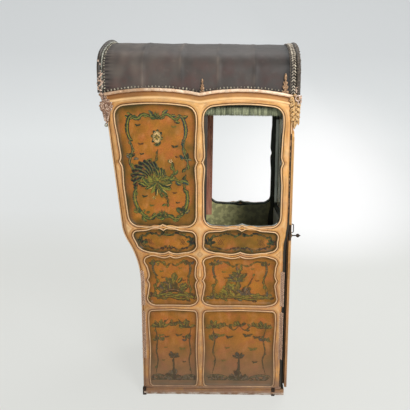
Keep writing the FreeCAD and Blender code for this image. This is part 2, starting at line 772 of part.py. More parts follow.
def make_vault():
    rear = mm("roof_rear_x") + mm("pediment_thickness")
    front = mm("roof_front_x") - mm("pediment_thickness")
    foot, past = mm("head_spring"), mm("tool_margin")
    shell = turned_to_front(vault_arch(0, foot).slab(-front, -rear))
    hollow = turned_to_front(vault_arch(-mm("vault_thickness"), foot - past).slab(-front - past,
                                                                                 past - rear))
    seat = Outline(rear - past, foot - past).line(rear - past, above_head("wall_rise") + mm("lid_gap"))
    cornice_line(seat, mm("lid_gap"))
    seat.line(front + past, above_head("wall_rise") + mm("lid_gap")).line(front + past, foot - past)
    half = mm("side_half_width")
    shaped("roof_vault", shell.cut(hollow).cut(seat.slab(-half, half)))


def make_pediment(end):
    """The arched frame and board that close one end of the roof."""
    foot = above_head("wall_rise") + mm("lid_gap")
    proud, width, hold = mm(f"{end}_pediment_proud"), mm("pediment_width"), mm("rebate")
    outer = vault_arch(proud, foot).wire()
    held = vault_arch(proud - width + hold, foot + width - hold).wire()
    shown = vault_arch(proud - width, foot + width).wire()
    if end == "rear":
        outer_face, inner_face = "Sizes.roof_rear_x", "Sizes.roof_rear_x + Sizes.pediment_thickness"
        rebate_face = inner_face
        board_at = "Sizes.roof_rear_x + Sizes.panel_recess"
        low_face, high_face = outer_face, inner_face
    else:
        outer_face, inner_face = "Sizes.roof_front_x", "Sizes.roof_front_x - Sizes.pediment_thickness"
        rebate_face = "Sizes.roof_front_x - Sizes.panel_recess"
        board_at = "Sizes.roof_front_x - Sizes.panel_recess - Sizes.pediment_panel"
        low_face, high_face = inner_face, outer_face
    frame = new_body(f"{end}_pediment_frame")
    pad(frame, sketch(frame, "YZ_Plane", f"{end}Outline", (outer,), low_face),
        f"{end}Blank", "Sizes.pediment_thickness")
    pocket(frame, sketch(frame, "YZ_Plane", f"{end}Sight", (shown,), high_face),
           f"{end}SightPocket", "Sizes.pediment_thickness")
    pocket(frame, sketch(frame, "YZ_Plane", f"{end}Rebate", (held,), rebate_face),
           f"{end}RebatePocket", "Sizes.pediment_thickness - Sizes.panel_recess")
    fit = mm("panel_fit")
    edge = vault_arch(proud - width + hold - fit, foot + width - hold + fit).wire()
    board = new_body(f"{end}_pediment_board")
    pad(board, sketch(board, "YZ_Plane", f"{end}Board", (edge,), board_at),
        f"{end}BoardPad", "Sizes.pediment_panel")


# ---------------------------------------------------------------- seat

def make_seat():
    clear = mm("soft_clear")
    half = inner_half_width() - clear
    rear = mm("rear_face_x") + mm("back_thickness") + clear
    shaped("seat_board", block(rear, mm("seat_front_x"), -half, half,
                               mm("seat_top") - mm("seat_thickness"), mm("seat_top")))
    shaped("seat_riser", block(mm("seat_front_x") - mm("riser_thickness"), mm("seat_front_x"),
                               -half, half, mm("sill_height"),
                               mm("seat_top") - mm("seat_thickness")))
    inset = mm("cushion_inset")
    pillow = block(rear + inset, mm("seat_front_x") - inset, inset - half, half - inset,
                   mm("seat_top") + clear, mm("seat_top") + mm("cushion_height"))
    shaped("seat_cushion", pillow.makeFillet(mm("cushion_round"), pillow.Edges))


# ---------------------------------------------------------------- door

def door_rows():
    """The door's window and panels, in the same words as the side frames' rows."""
    upper, belt, middle, lower = panel_rows()
    foot = mm("sill_height") + mm("door_clear") + mm("door_bottom_rail")
    window = ("window", upper[1], below_head("door_head_drop")) + upper[3:]
    tall = ("tall", foot, middle[2]) + middle[3:]
    return window, belt, tall


def make_door():
    lip_back = mm("front_face_x") + mm("front_step") + mm("door_gap")
    lip_front = lip_back + mm("door_lip")
    step_back = lip_back - mm("door_step")
    foot = mm("sill_height") + mm("door_clear")
    top = above_head("header_rise") + mm("door_overlap")
    draw = mm("door_shoulder_draw")
    half = mm("side_half_width") - mm("door_lip_inset")
    shoulder = half - draw
    low = below_head("shoulder_drop")
    lip = Outline(half, foot).line(half, low - draw / 2)
    lip.arc(half - draw * 0.15, low - draw * 0.15, half - draw / 2, low)
    lip.arc(shoulder + draw * 0.15, low + draw * 0.15, shoulder, low + draw / 2)
    lip.line(shoulder, top).line(-shoulder, top).line(-shoulder, low + draw / 2)
    lip.arc(-shoulder - draw * 0.15, low + draw * 0.15, -half + draw / 2, low)
    lip.arc(-half + draw * 0.15, low - draw * 0.15, -half, low - draw / 2)
    lip.line(-half, foot)
    leaf = turned_to_front(lip.slab(-lip_front, -lip_back))
    step_half = mm("side_half_width") - mm("front_post_depth") - mm("door_clear")
    step = block(step_back, lip_back, -step_half, step_half,
                 foot, above_head("header_rise") - mm("door_clear"))
    leaf = leaf.fuse(step).removeSplitter()
    inner_half = half - mm("door_stile")
    left = straight_edge(-inner_half, above_head("arch_rise"))
    right = straight_edge(inner_half, above_head("arch_rise"))
    panels = []
    for row in door_rows():
        glazed = row[0] == "window"
        thick = mm("glass_thickness") if glazed else mm("panel_thickness")
        face = lip_front - mm("panel_recess") - (mm("panel_thickness") if glazed else 0)
        tools = [opening(left, 0, right, 0, row, 0, -lip_front, -step_back),
                 opening(left, 0, right, 0, row, mm("rebate"), -face, -step_back)]
        leaf = leaf.cut([turned_to_front(tool) for tool in tools])
        sheet_solid = turned_to_front(opening(left, 0, right, 0, row,
                                              mm("rebate") - mm("panel_fit"), -face, thick - face))
        if glazed:
            shaped("door_glass", sheet_solid)
        else:
            panels.append(sheet_solid)
    between = block(step_back, lip_front, -inner_half, inner_half, 0, top)
    shaped("door_rails", leaf.common(between))
    shaped("door_stiles", leaf.cut(between))
    shaped("door_panels", Part.makeCompound(panels))
    clear = mm("soft_clear")
    shaped("door_lining", block(step_back - clear - mm("lining_thickness"), step_back - clear,
                                -step_half, step_half, foot, mm("waist_rail_z")))
    make_latch(lip_front)


def make_latch(face):
    """The knob, the bail pull and the iron plate at the door's free edge."""
    edge = mm("door_lip_inset") - mm("side_half_width")
    y, z = edge + mm("latch_inset"), mm("latch_z")
    tip, long, fat = face + mm("knob_reach"), mm("knob_length"), mm("knob_radius")
    thin, rim, neck = mm("spindle_radius"), mm("rosette_rim"), mm("rosette_height")
    wide = mm("rosette_radius")
    # half section of rosette, spindle and knob, turned round the X axis
    turned = Outline(face, 0).line(face, wide).line(face + rim, wide)
    turned.arc(face + neck - rim, fat, face + neck, thin).line(tip - long, thin)
    turned.arc(tip - long * 0.72, fat, tip - long * 0.3, fat * 0.5).line(tip, 0)
    knob = Part.Face(turned.wire()).revolve(Vector(), Vector(1, 0, 0), 360)
    knob.translate(Vector(0, y, z))
    rod, out, tall = mm("pull_radius"), mm("pull_projection"), mm("pull_height")
    low = z + wide + rod + mm("pull_clear")
    bend = out / 2
    path = Outline(face, low).line(face + out - bend, low)
    path.arc(face + out - bend * 0.293, low + bend * 0.293, face + out, low + bend)
    path.line(face + out, low + tall - bend)
    path.arc(face + out - bend * 0.293, low + tall - bend * 0.293, face + out - bend, low + tall)
    path.line(face, low + tall)
    route = Part.Wire(path.edges)
    ring = Part.Wire(Part.makeCircle(rod, Vector(face, 0, low), Vector(1, 0, 0)))
    pull = route.makePipeShell([ring], True, True)
    pull.translate(Vector(0, y, 0))
    plate_low = z - mm("lock_plate_height") * 0.27
    plate = block(face - mm("door_lip"), face, edge - mm("lock_plate"), edge,
                  plate_low, plate_low + mm("lock_plate_height"))
    shaped("door_latch", Part.makeCompound([knob, pull, plate]))
    post = mm("front_face_x") + mm("front_step")
    side = -mm("side_half_width")
    shaped("latch_keeper", block(post - mm("keeper_width"), post, side - mm("lock_plate"), side,
                                 z + mm("lock_plate_height") * 0.25,
                                 z + mm("lock_plate_height") * 0.73))


# ---------------------------------------------------------------- hinges and irons

def knuckle(radius, start, length, hole):
    """A hinge knuckle on the Z axis."""
    tube = Part.makeCylinder(radius, length, Vector(0, 0, start))
    if hole:
        tube = tube.cut(Part.makeCylinder(hole, length + 2, Vector(0, 0, start - 1)))
    return tube


def hinge_height():
    """Three knuckles and the gaps between them."""
    return 3 * mm("knuckle") + 2 * mm("knuckle_gap")


def hinge(radius, fixed_leaf, moving_leaf):
    """A three-knuckle hinge on the Z axis: (fixed half with its pin, moving half)."""
    length, gap = mm("knuckle"), mm("knuckle_gap")
    pin, bore = mm("pin_radius"), mm("pin_radius") + mm("pin_clear")
    whole = hinge_height()
    fixed = knuckle(radius, 0, length, 0).fuse(knuckle(radius, 2 * (length + gap), length, 0))
    between = knuckle(radius + 1, length, length + 2 * gap, 0)
    clear_leaf = fixed_leaf.cut(between)
    fixed = fixed.fuse([clear_leaf, Part.makeCylinder(pin, whole)])
    around = knuckle(radius + 1, -1, length + 1 + gap, 0).fuse(
        knuckle(radius + 1, 2 * length + gap, length + 1 + gap, 0))
    moving = knuckle(radius, length + gap, length, 0).fuse(moving_leaf.cut(around))
    moving = moving.cut(Part.makeCylinder(bore, whole))
    return fixed.removeSplitter(), moving.removeSplitter()


def make_door_hinges():
    radius, thick, leaf = mm("hinge_radius"), mm("hinge_plate"), mm("hinge_leaf")
    side = mm("side_half_width")
    post = mm("front_face_x") + mm("front_step")
    lip_front = post + mm("door_gap") + mm("door_lip")
    pin_x = lip_front - mm("door_pin_set")
    low = mm("door_hinge_low")
    pitch = (below_head("carving_drop") - mm("door_hinge_head") - low) / 2
    whole = hinge_height()
    fixed_leaf = block(post - leaf - pin_x, 0, 0, thick, 0, whole)
    moving_leaf = block(lip_front - pin_x, lip_front + thick - pin_x, -leaf, 0, 0, whole)
    fixed, moving = hinge(radius, fixed_leaf, moving_leaf)
    fixed_set, moving_set = [], []
    for number in range(3):
        place = Vector(pin_x, side, low + number * pitch)
        for part, group in ((fixed, fixed_set), (moving, moving_set)):
            copy = part.copy()
            copy.translate(place)
            group.append(copy)
    shaped("door_hinge_pins", Part.makeCompound(fixed_set))
    shaped("door_hinge_leaves", Part.makeCompound(moving_set))


def make_roof_hinges():
    radius, thick, leaf = mm("roof_hinge_radius"), mm("hinge_plate"), mm("hinge_leaf")
    axis_x = mm("roof_rear_x") - radius - 1
    face = mm("roof_rear_x") - axis_x
    whole = hinge_height()
    # drawn upright on the Z axis, then laid along Y: X stays, drawn Y becomes height
    cornice = mm("end_cornice_height") / 3
    fixed_leaf = block(face - thick - 1, face, -cornice, -1, 0, whole)
    fixed_leaf = fixed_leaf.fuse(block(0, face, -radius, -1, 0, whole))
    moving_leaf = block(face - thick - 1, face, mm("lid_gap"), leaf * 0.6, 0, whole)
    moving_leaf = moving_leaf.fuse(block(0, face, mm("lid_gap"), radius, 0, whole))
    fixed, moving = hinge(radius, fixed_leaf, moving_leaf)
    fixed_set, moving_set = [], []
    lay = Placement(Vector(), Rotation(Vector(1, 0, 0), 90))
    axis_z = above_head("wall_rise") + mm("lid_gap") / 2
    for y in (-mm("roof_hinge_y"), mm("roof_hinge_y")):
        place = Placement(Vector(axis_x, y + whole / 2, axis_z), Rotation())
        for part, group in ((fixed, fixed_set), (moving, moving_set)):
            copy = part.copy()
            copy.Placement = place.multiply(lay)
            group.append(copy)
    shaped("roof_hinge_pins", Part.makeCompound(fixed_set))
    shaped("roof_hinge_leaves", Part.makeCompound(moving_set))


def make_pole_bolts():
    """Plates and heads of the bolts that held the pole irons."""
    side, thick = -mm("side_half_width"), mm("bolt_plate_thickness")
    half, head = mm("bolt_plate") / 2, mm("bolt_head")
    height = mm("pole_bolt_z")
    bolts = []
    for x in (mm("rear_pole_bolt_x"), mm("front_pole_bolt_x")):
        plate = block(x - half, x + half, side - thick, side, height - half, height + half)
        dome = Part.makeSphere(head, Vector(x, side - thick, height))
        dome = dome.common(block(x - head, x + head, side - thick - head / 2, side - thick,
                                 height - head, height + head))
        bolt = plate.fuse(dome).removeSplitter()
        bolts += [bolt, mirrored(bolt)]
    shaped("pole_bolts", Part.makeCompound(bolts))


# ---------------------------------------------------------------- build and write

def check(feature):
    """Stops when an object failed or its shape is not a sound solid."""
    state = [word for word in feature.State if word in ("Invalid", "Error")]
    if state:
        raise RuntimeError(f"{feature.Label}: {state}")
    shape = feature.Shape
    if shape.isNull() or not shape.isValid() or not shape.Solids:
        raise RuntimeError(f"{feature.Label}: no valid solid")


make_base()
make_feet()
make_side()
make_back()
make_header()
make_carvings()
make_finials()
make_vault()
make_pediment("rear")
make_pediment("front")
make_seat()
make_door()
make_door_hinges()
make_roof_hinges()
make_pole_bolts()
document.recompute()
for item in document.Objects:
    if "Invalid" in item.State or "Error" in item.State:
        raise RuntimeError(f"{item.Label}: {item.State}")
for node in NODES:
    check(node)
os.makedirs("parts", exist_ok=True)
for node in NODES:
    node.Shape.exportStep(f"parts/{node.Label}.step")
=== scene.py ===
"""Dresses a sedan chair: gilt mouldings, painted panels, nailed leather roof, silk and velvet."""
import json
import math
import random

import bmesh
import bpy
from mathutils import Matrix, Vector, noise
from mathutils.bvhtree import BVHTree
from mathutils.kdtree import KDTree


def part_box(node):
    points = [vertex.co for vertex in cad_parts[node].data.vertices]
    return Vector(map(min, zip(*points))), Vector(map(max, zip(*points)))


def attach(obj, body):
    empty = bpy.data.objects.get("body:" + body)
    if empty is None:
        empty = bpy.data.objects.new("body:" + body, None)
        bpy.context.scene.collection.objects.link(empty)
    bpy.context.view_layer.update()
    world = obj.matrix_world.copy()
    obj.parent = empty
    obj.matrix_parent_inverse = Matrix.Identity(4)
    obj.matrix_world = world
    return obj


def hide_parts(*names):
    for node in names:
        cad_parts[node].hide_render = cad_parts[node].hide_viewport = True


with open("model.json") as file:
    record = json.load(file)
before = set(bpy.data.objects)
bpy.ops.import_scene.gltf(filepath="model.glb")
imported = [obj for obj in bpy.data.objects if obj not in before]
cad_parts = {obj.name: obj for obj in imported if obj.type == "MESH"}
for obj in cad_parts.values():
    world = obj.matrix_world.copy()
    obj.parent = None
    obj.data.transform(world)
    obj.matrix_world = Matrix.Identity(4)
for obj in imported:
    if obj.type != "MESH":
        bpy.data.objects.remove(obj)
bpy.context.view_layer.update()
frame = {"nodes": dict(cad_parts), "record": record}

bl_info = {
    "name": "Sedan Chair Dressing",
    "version": (1, 0, 0),
    "blender": (4, 5, 0),
    "location": "3D View > Sidebar > Sedan Chair",
    "description": "Carved gilding, painted panels, leather roof and silks of a sedan chair",
    "category": "Object",
}

MM = 0.001
SIDE_FACE = 325.0
SIDES = (("right", -1), ("left", 1))
MIDDLE_POST = (-23.0, 15.0)
REAR_POST_WIDTH, FRONT_POST_WIDTH = 36.0, 40.0
PANEL_RECESS = 6.0
BACK_HALF = 289.0
DOOR_HALF = 236.0
VAULT_SPRING = 1466.0
# heights at which the posts narrow to a carved knot
HIGH_KNOT, LOW_KNOT = 1146.0, 592.0
DOOR_EDGE_HALF = 316
# a place so far off that beads which turn away from it all face alike
FAR = 9e5
# a height inside the roof that its beads turn away from
ROOF_HEART = 1300

# name, foot, head, rise at the head's middle, drop at the foot's middle, corner radius, arched, knot
ROWS = (
    ("upper", 856, 1388, 16, 14, 40, True, HIGH_KNOT),
    ("belt", 732, 829, -5, -5, 24, False, 0),
    ("middle", 474, 702, -5, 0, 20, False, LOW_KNOT),
    ("lower", 48, 438, 0, 0, 14, False, 0),
)
DOOR_ROWS = (
    ("upper", 856, 1362, 16, 14, 40, True, HIGH_KNOT),
    ("belt", 732, 829, -5, -5, 24, False, 0),
    ("tall", 109, 702, -5, 0, 20, False, 0),
)
# how the carved edge strays outwards from a straight one: share of the length, millimetres, a cusp or not
NO_WAVE = ((0, 0, 0), (1, 0, 0))
HEAD_WAVES = {
    "belt": ((0, -5, 0), (0.2, -1, 0), (0.39, 13, 0), (0.5, 0, 1)),
    "middle": ((0, -6, 0), (0.18, 7, 0), (0.39, -4, 0), (0.5, 5, 1)),
    "tall": ((0, -6, 0), (0.18, 7, 0), (0.39, -4, 0), (0.5, 5, 1)),
    "lower": ((0, -2, 0), (0.3, 1, 0), (0.5, 3, 0)),
}
FOOT_WAVES = {
    "upper": ((0, 0, 0), (0.12, 6, 0), (0.25, 9, 0), (0.38, 7, 0), (0.5, -3, 1)),
    "belt": ((0, -4, 0), (0.17, 6, 0), (0.36, 12, 0), (0.5, 2, 1)),
    "middle": ((0, 0, 0), (0.15, 8, 0), (0.5, 7, 0)),
}
SIDE_WAVES = {
    "upper": ((0, 0, 0), (0.19, 1, 0), (0.33, 1.5, 0), (0.49, -3.5, 0), (0.545, 6.5, 1), (0.60, -3.5, 0),
              (0.74, -1, 0), (0.87, 3, 0), (1, 0, 0)),
    "belt": ((0, -3, 0), (0.15, 5, 1), (0.5, 0, 0), (1, -3, 0)),
    "middle": ((0, 0, 0), (0.11, 7, 0), (0.24, 1, 0), (0.40, -4.5, 0), (0.505, 5, 1), (0.63, -6, 0),
               (0.77, -4, 0), (0.92, 4, 0), (1, 2, 0)),
    "lower": ((0, 0, 0), (0.12, 3, 0), (0.5, -2, 0), (0.88, 3, 0), (1, 0, 0)),
}
# offset outwards from the opening's carved edge, height above the frame's face
OPENING_MOULD = ((-1.6, -5.7), (-1.8, 1.4), (-0.6, 3.9), (1.5, 5.0), (3.6, 4.4), (4.9, 2.0), (5.9, 1.5),
                 (7.6, 2.8), (9.6, 3.9), (11.8, 4.3), (14.0, 2.4))
EDGE_MOULD = ((-0.4, -4.0), (-0.5, 1.2), (0.6, 3.0), (2.2, 3.8), (3.8, 3.0), (4.8, 1.4), (5.8, 1.3),
              (7.6, 2.8), (9.6, 3.9), (11.8, 4.3), (14.0, 2.4))
# how far each point of those profiles is darker, as brown size with painted shade in the grooves, and how far
# paler, as rubbing with painted highlight on the beads
OPENING_TONES = ((1, 0), (0.3, 0.2), (0.1, 0.6), (0, 0.7), (0, 0.4), (0.8, 0), (1, 0), (0.6, 0), (0.25, 0),
                 (0.1, 0), (0, 0))
EDGE_TONES = ((0.6, 0), (0.1, 0.4), (0, 0.8), (0, 0.7), (0, 0.3), (0.8, 0), (1, 0), (0.5, 0), (0.2, 0),
              (0.1, 0), (0, 0))
# the swelling of the frame between two edges: distance from the nearer edge, height
SWELL = ((0, 0.0), (8.0, 2.4), (10, 3.8), (12, 4.6), (15, 5.6), (18, 6.1), (22, 6.4), (60, 6.4))


def linear(colour):
    """The linear colour of an sRGB hex code; anything else is passed on as it is."""
    if not isinstance(colour, str):
        return colour
    parts = [int(colour[i:i + 2], 16) / 255 for i in (1, 3, 5)]
    return tuple(c / 12.92 if c <= 0.04045 else ((c + 0.055) / 1.055) ** 2.4 for c in parts) + (1.0,)


# ---------------------------------------------------------------- sizes and colours

def colour_setting(name, description, code):
    return bpy.props.FloatVectorProperty(name=name, description=description, default=linear(code)[:3],
                                         size=3, subtype="COLOR", min=0, max=1)


def length_setting(name, description, size, low, high):
    """A length kept in millimetres, as the camera's own lengths are."""
    return bpy.props.FloatProperty(name=name, description=description, default=size, min=low, max=high,
                                   subtype="DISTANCE_CAMERA")


class SedanChairSettings(bpy.types.PropertyGroup):
    gilt: colour_setting("Gilding", "Gold leaf toned with age", "#E0A052")
    lacquer: colour_setting("Lacquer", "Ground colour of the painted panels", "#A0661E")
    leather: colour_setting("Roof leather", "Waxed leather of the roof", "#4E4742")
    silk: colour_setting("Silk", "Green silk of linings and fringes", "#CAC68E")
    nail_pitch: length_setting("Nail pitch", "Roof nails apart", 15, 4, 60)
    nail_size: length_setting("Nail head", "Width of a roof nail's head", 9, 2, 20)
    fringe_drop: length_setting("Fringe", "Length of the window fringe", 44, 5, 120)
    cushion_fill: bpy.props.FloatProperty(
        name="Cushion fill", description="How tightly the cushion is stuffed", default=0.7, min=0, max=1,
        subtype="FACTOR")


def settings():
    return bpy.context.scene.sedan_chair


# ---------------------------------------------------------------- materials

def add_node(tree, kind, sockets=None, stops=None, **choices):
    """Adds a node with its settings, the values or incoming links of its sockets, and its colour stops."""
    made = tree.nodes.new(kind)
    for key, value in choices.items():
        setattr(made, key, value)
    for key, item in (sockets or {}).items():
        if isinstance(item, bpy.types.NodeSocket):
            tree.links.new(item, made.inputs[key])
        else:
            made.inputs[key].default_value = linear(item)
    if stops:
        elements = made.color_ramp.elements
        while len(elements) < len(stops):
            elements.new(0.5)
        for element, (position, colour) in zip(elements, stops):
            element.position, element.color = position, linear(colour)
    return made


def grey(value):
    return (value, value, value, 1.0)


def shade(colour, factor):
    """A colour or hex code made lighter or darker."""
    return tuple(min(c * factor, 1.0) for c in tuple(linear(colour))[:3]) + (1.0,)


class Finish:
    """A material in the making: its patterns and its masks, with sizes in millimetres."""

    def __init__(self, name):
        self.material = bpy.data.materials.new(name)
        self.material.use_nodes = True
        self.tree = self.material.node_tree
        self.tree.nodes.clear()
        self.output = self.node("ShaderNodeOutputMaterial")
        self.shader = self.node("ShaderNodeBsdfPrincipled")
        self.tree.links.new(self.shader.outputs["BSDF"], self.output.inputs["Surface"])
        self.place = self.node("ShaderNodeTexCoord").outputs["Object"]

    def node(self, kind, sockets=None, stops=None, **choices):
        return add_node(self.tree, kind, sockets, stops, **choices)

    def done(self, colour, values):
        """The finished material, from its colour and the shader's other values."""
        self.tree.links.new(colour, self.shader.inputs["Base Color"])
        for key, value in values.items():
            self.shader.inputs[key].default_value = value
        return self.material

    def tones(self):
        """The channels of the tones painted on the mesh."""
        paint = self.node("ShaderNodeVertexColor", layer_name="paint").outputs["Color"]
        return self.node("ShaderNodeSeparateColor", {0: paint}).outputs

    def grain(self, size, detail, stretch, **sockets):
        moved = self.node("ShaderNodeMapping", {"Scale": stretch, "Vector": self.place})
        return self.node("ShaderNodeTexNoise", {"Scale": 1000 / size, "Detail": detail,
                                                "Vector": moved.outputs[0], **sockets}).outputs["Fac"]

    def clouds(self, size, first, second, low=0.38, high=0.62, detail=4.0, stretch=(1, 1, 1)):
        """Patches of two colours."""
        return self.node("ShaderNodeValToRGB", {"Fac": self.grain(size, detail, stretch, Roughness=0.6)},
                         ((low, first), (high, second))).outputs["Color"]

    def patches(self, size, strength, low, high, detail=4.0, stretch=(1, 1, 1)):
        """A mask in patches, from nothing to a strength."""
        return self.clouds(size, grey(0), grey(strength), low, high, detail, stretch)

    def hollows(self, reach, low, high):
        """A mask that is 1 in hollows and 0 in the open, judged over a reach by ambient occlusion, for
        painting shade into the hollows.
        """
        free = self.node("ShaderNodeAmbientOcclusion", {"Distance": reach * MM}, samples=6).outputs["AO"]
        return self.node("ShaderNodeMapRange", {"From Min": low, "From Max": high, "To Min": 1.0,
                                                "To Max": 0.0, "Value": free}).outputs[0]

    def low_down(self, top, foot, strength):
        """A mask that rises from 0 at a height to a strength at a lower height."""
        height = self.node("ShaderNodeSeparateXYZ", {0: self.place}).outputs["Z"]
        return self.node("ShaderNodeMapRange", {"From Min": top * MM, "From Max": foot * MM, "To Min": 0.0,
                                                "To Max": strength, "Value": height}).outputs[0]

    def within(self, axis, low, high, soft=1.0):
        """A mask that is 1 between two places along an axis; across the chair both sides are alike."""
        along = self.node("ShaderNodeSeparateXYZ", {0: self.place}).outputs[axis]
        if axis == "Y":
            along = self.node("ShaderNodeMath", {0: along}, operation="ABSOLUTE").outputs[0]
        rise = self.node("ShaderNodeMapRange", {"From Min": (low - soft) * MM, "From Max": low * MM,
                                                "Value": along})
        fall = self.node("ShaderNodeMapRange", {"From Min": high * MM, "From Max": (high + soft) * MM,
                                                "To Min": 1.0, "To Max": 0.0, "Value": along})
        return self.node("ShaderNodeMath", {0: rise.outputs[0], 1: fall.outputs[0]},
                         operation="MULTIPLY").outputs[0]

    def coated(self, base, *coats):
        """Lays coats of colour over a base, each by its mask or by two masks multiplied."""
        for mask, colour, *blend in coats:
            if isinstance(mask, list):
                mask = self.node("ShaderNodeMath", dict(enumerate(mask)), operation="MULTIPLY").outputs[0]
            mix = self.node("ShaderNodeMix", {0: mask, 6: base, 7: colour}, data_type="RGBA",
                            blend_type=blend[0] if blend else "MIX")
            base = mix.outputs[2]
        return base

    def raised(self, pattern, strength, depth):
        """Bumps the surface by a pattern."""
        bump = self.node("ShaderNodeBump", {"Strength": strength, "Distance": depth * MM, "Height": pattern})
        self.tree.links.new(bump.outputs[0], self.shader.inputs["Normal"])

    def relief(self, size, depth, detail=3.0, stretch=(1, 1, 1)):
        self.raised(self.grain(size, detail, stretch), 0.6, depth)


def gilt_finish(name, leaf, rubbed, dirt_and_shade, reach=7, inside=False, carved=False):
    """Water gilding on gesso: soft ochre gold, rubbed paler on top with painted highlight, brown size with
    painted shade in the hollows.
    """
    skin = Finish(name)
    tones = skin.tones()
    coats = [(skin.patches(16, 0.6, 0.5, 0.75), rubbed)]
    if carved:
        # crumbled gesso: dark pocks and bare pale crumbs over the whole carving
        coats += [(skin.patches(6, 0.85, 0.5, 0.66), dirt_and_shade), (skin.patches(4.4, 0.9, 0.51, 0.64), rubbed)]
    else:
        # pink bole and brown flecks in the leaf, then painted light making it brighter high up and painted
        # shade making it duller towards the rear
        coats += [(skin.patches(38, 0.6, 0.46, 0.7, stretch=(1, 1, 0.5)), "#D08E66"),
                  (skin.patches(5, 0.75, 0.6, 0.72), "#8E5328"),
                  ([skin.within("Z", 1000, 2500, 300), 0.24], "#FCD08E"),
                  ([skin.within("X", -900, -280, 120), 0.5], "#86541E")]
    # the tones painted on the mesh: paler as wear with painted highlight, brown streaks, and darker as brown
    # size with painted shade
    coats += [(tones["Green"], rubbed), (tones["Blue"], "#9A5A26"), (tones["Red"], dirt_and_shade)]
    if carved:
        # ridges paler as rubbed gesso with painted highlight, pits darker as black size with painted shade
        bend = skin.node("ShaderNodeNewGeometry").outputs["Pointiness"]
        for low, high, strength, colour in ((0.515, 0.585, 0.8, rubbed), (0.495, 0.46, 0.95, dirt_and_shade)):
            mask = skin.node("ShaderNodeMapRange", {"From Min": low, "From Max": high, "To Max": strength,
                                                    "Value": bend})
            coats.append((mask.outputs[0], colour))
    # painted shade with dirt in the hollows, then grime low down, darker still at the foot, chalky wear where
    # the frame has stood on wet stone, and soot
    coats += [(skin.hollows(reach, 0.35, 0.92), dirt_and_shade),
              ([skin.low_down(860, 60, 0.8), skin.clouds(60, grey(0.35), grey(1), 0.35, 0.62, 5.0)],
               "#8A6854"),
              (skin.low_down(110, 45, 0.35), "#6E5A4C"),
              ([skin.within("Z", -60, 12, 8), skin.patches(34, 0.8, 0.4, 0.6)], "#D2C8BE"),
              (skin.patches(90, 0.4, 0.5, 0.8), "#7E5F42")]
    if inside:
        # painted shade: the hidden faces inside the cabin are made nearly black
        coats.append(([skin.within("Y", -400, 322, 0.5), skin.within("X", -100, 405, 1.0)], "#2A2C22"))
    gold = skin.coated(skin.clouds(70, shade(leaf, 0.8), shade(leaf, 1.12), 0.3, 0.7), *coats)
    skin.relief(3.5, 0.3)
    return skin.done(gold, {"Metallic": 0.2, "Roughness": 0.46, "Specular IOR Level": 0.3})


def carved_finish(name, leaf, rubbed, dirt_and_shade):
    """Gilding on deep carving, worn to its gesso, paler on its ridges with painted highlight and dark with
    painted shade in its hollows.
    """
    return gilt_finish(name, leaf, rubbed, dirt_and_shade, carved=True)


def lacquer_ground(skin):
    """The panels' ground: orange-brown japanning, clouded redder and duller towards the foot."""
    base = settings().lacquer
    return skin.coated(skin.clouds(110, shade(base, 0.82), shade(base, 1.22), 0.3, 0.72),
                       (skin.patches(48, 0.65, 0.45, 0.69), "#AC5C30"),
                       (0.85, skin.clouds(5, grey(0.78), grey(1.16), 0.35, 0.65), "MULTIPLY"),
                       (skin.patches(26, 0.55, 0.52, 0.72, 6.0, (1, 1, 0.6)), "#C08048"),
                       (skin.low_down(420, 60, 0.5), "#7A5536"))


VARNISH = {"Specular IOR Level": 0.22, "Coat Roughness": 0.35}


def lacquer_finish():
    """Japanned limewood panel: clear orange in the middle, olive, and dark with painted shade at the rim,
    under worn varnish.
    """
    skin = Finish("japanned_panel")
    tones = skin.tones()
    olive = skin.node("ShaderNodeMapRange", {"From Min": 0.25, "From Max": 1.0, "To Max": 0.6,
                                             "Value": tones["Green"]})
    # the glaze's tones: olive clouding, and painted shade dark at the rim
    ground = skin.coated(lacquer_ground(skin), (olive.outputs[0], "#665812"), (tones["Red"], "#38300E"),
                         (skin.low_down(300, 70, 0.55), "#6C6052"))
    skin.relief(9, 0.25)
    return skin.done(ground, {"Roughness": 0.42, "Coat Weight": 0.08, **VARNISH})


def paint_finish():
    """Oil paint and bronze powder on the panels, rubbed through to the ground, and sunk into it low down."""
    skin = Finish("brushed_paint")
    stroke = skin.node("ShaderNodeVertexColor", layer_name="paint").outputs["Color"]
    ground = lacquer_ground(skin)
    mixed = skin.coated(stroke, (1.0, skin.clouds(7, grey(0.65), grey(1.35), 0.35, 0.68), "MULTIPLY"),
                        (skin.patches(14, 0.6, 0.52, 0.72, 6.0), ground),
                        ([skin.within("Z", -100, 690, 90), 0.15], ground),
                        (skin.low_down(420, 60, 0.35), "#5C5246"))
    skin.relief(4, 0.2)
    return skin.done(mixed, {"Roughness": 0.5, "Coat Weight": 0.06, **VARNISH})


def leather_finish():
    """Waxed cowhide: grey-brown, paler on ridges as scuffs with painted highlight, reddish where the wax has
    gone, and nearly black with painted shade at the nails.
    """
    skin = Finish("waxed_leather")
    base, tones = settings().leather, skin.tones()
    hide = skin.coated(skin.clouds(150, shade(base, 0.82), shade(base, 1.25), 0.32, 0.7),
                       ([skin.low_down(1660, 1500, 1.0), skin.patches(100, 0.8, 0.44, 0.66)], "#5E3E38"),
                       # the mesh's tones: paler as scuffs with painted highlight, nearly black as painted
                       # shade
                       (tones["Red"], "#8A7C70"), (skin.patches(26, 0.3, 0.58, 0.76, 6.0), "#776C62"),
                       (tones["Green"], "#1B1816"))
    skin.relief(3, 0.5, 6.0)
    return skin.done(hide, {"Roughness": 0.52, "Specular IOR Level": 0.35})


def wood_finish(name, first, second, rough):
    """Planed and oiled wood with long grain along the height."""
    skin, stretch = Finish(name), (1, 1, 0.08)
    grain = skin.coated(skin.clouds(9, first, second, 0.3, 0.7, 8.0, stretch),
                        (1.0, skin.clouds(120, grey(0.7), grey(1.15), 0.3, 0.7), "MULTIPLY"),
                        # painted shade: darker in the hollows
                        (skin.hollows(12, 0.35, 0.9), shade(first, 0.5)))
    skin.relief(2.5, 0.3, 4.0, stretch)
    return skin.done(grain, {"Roughness": rough})


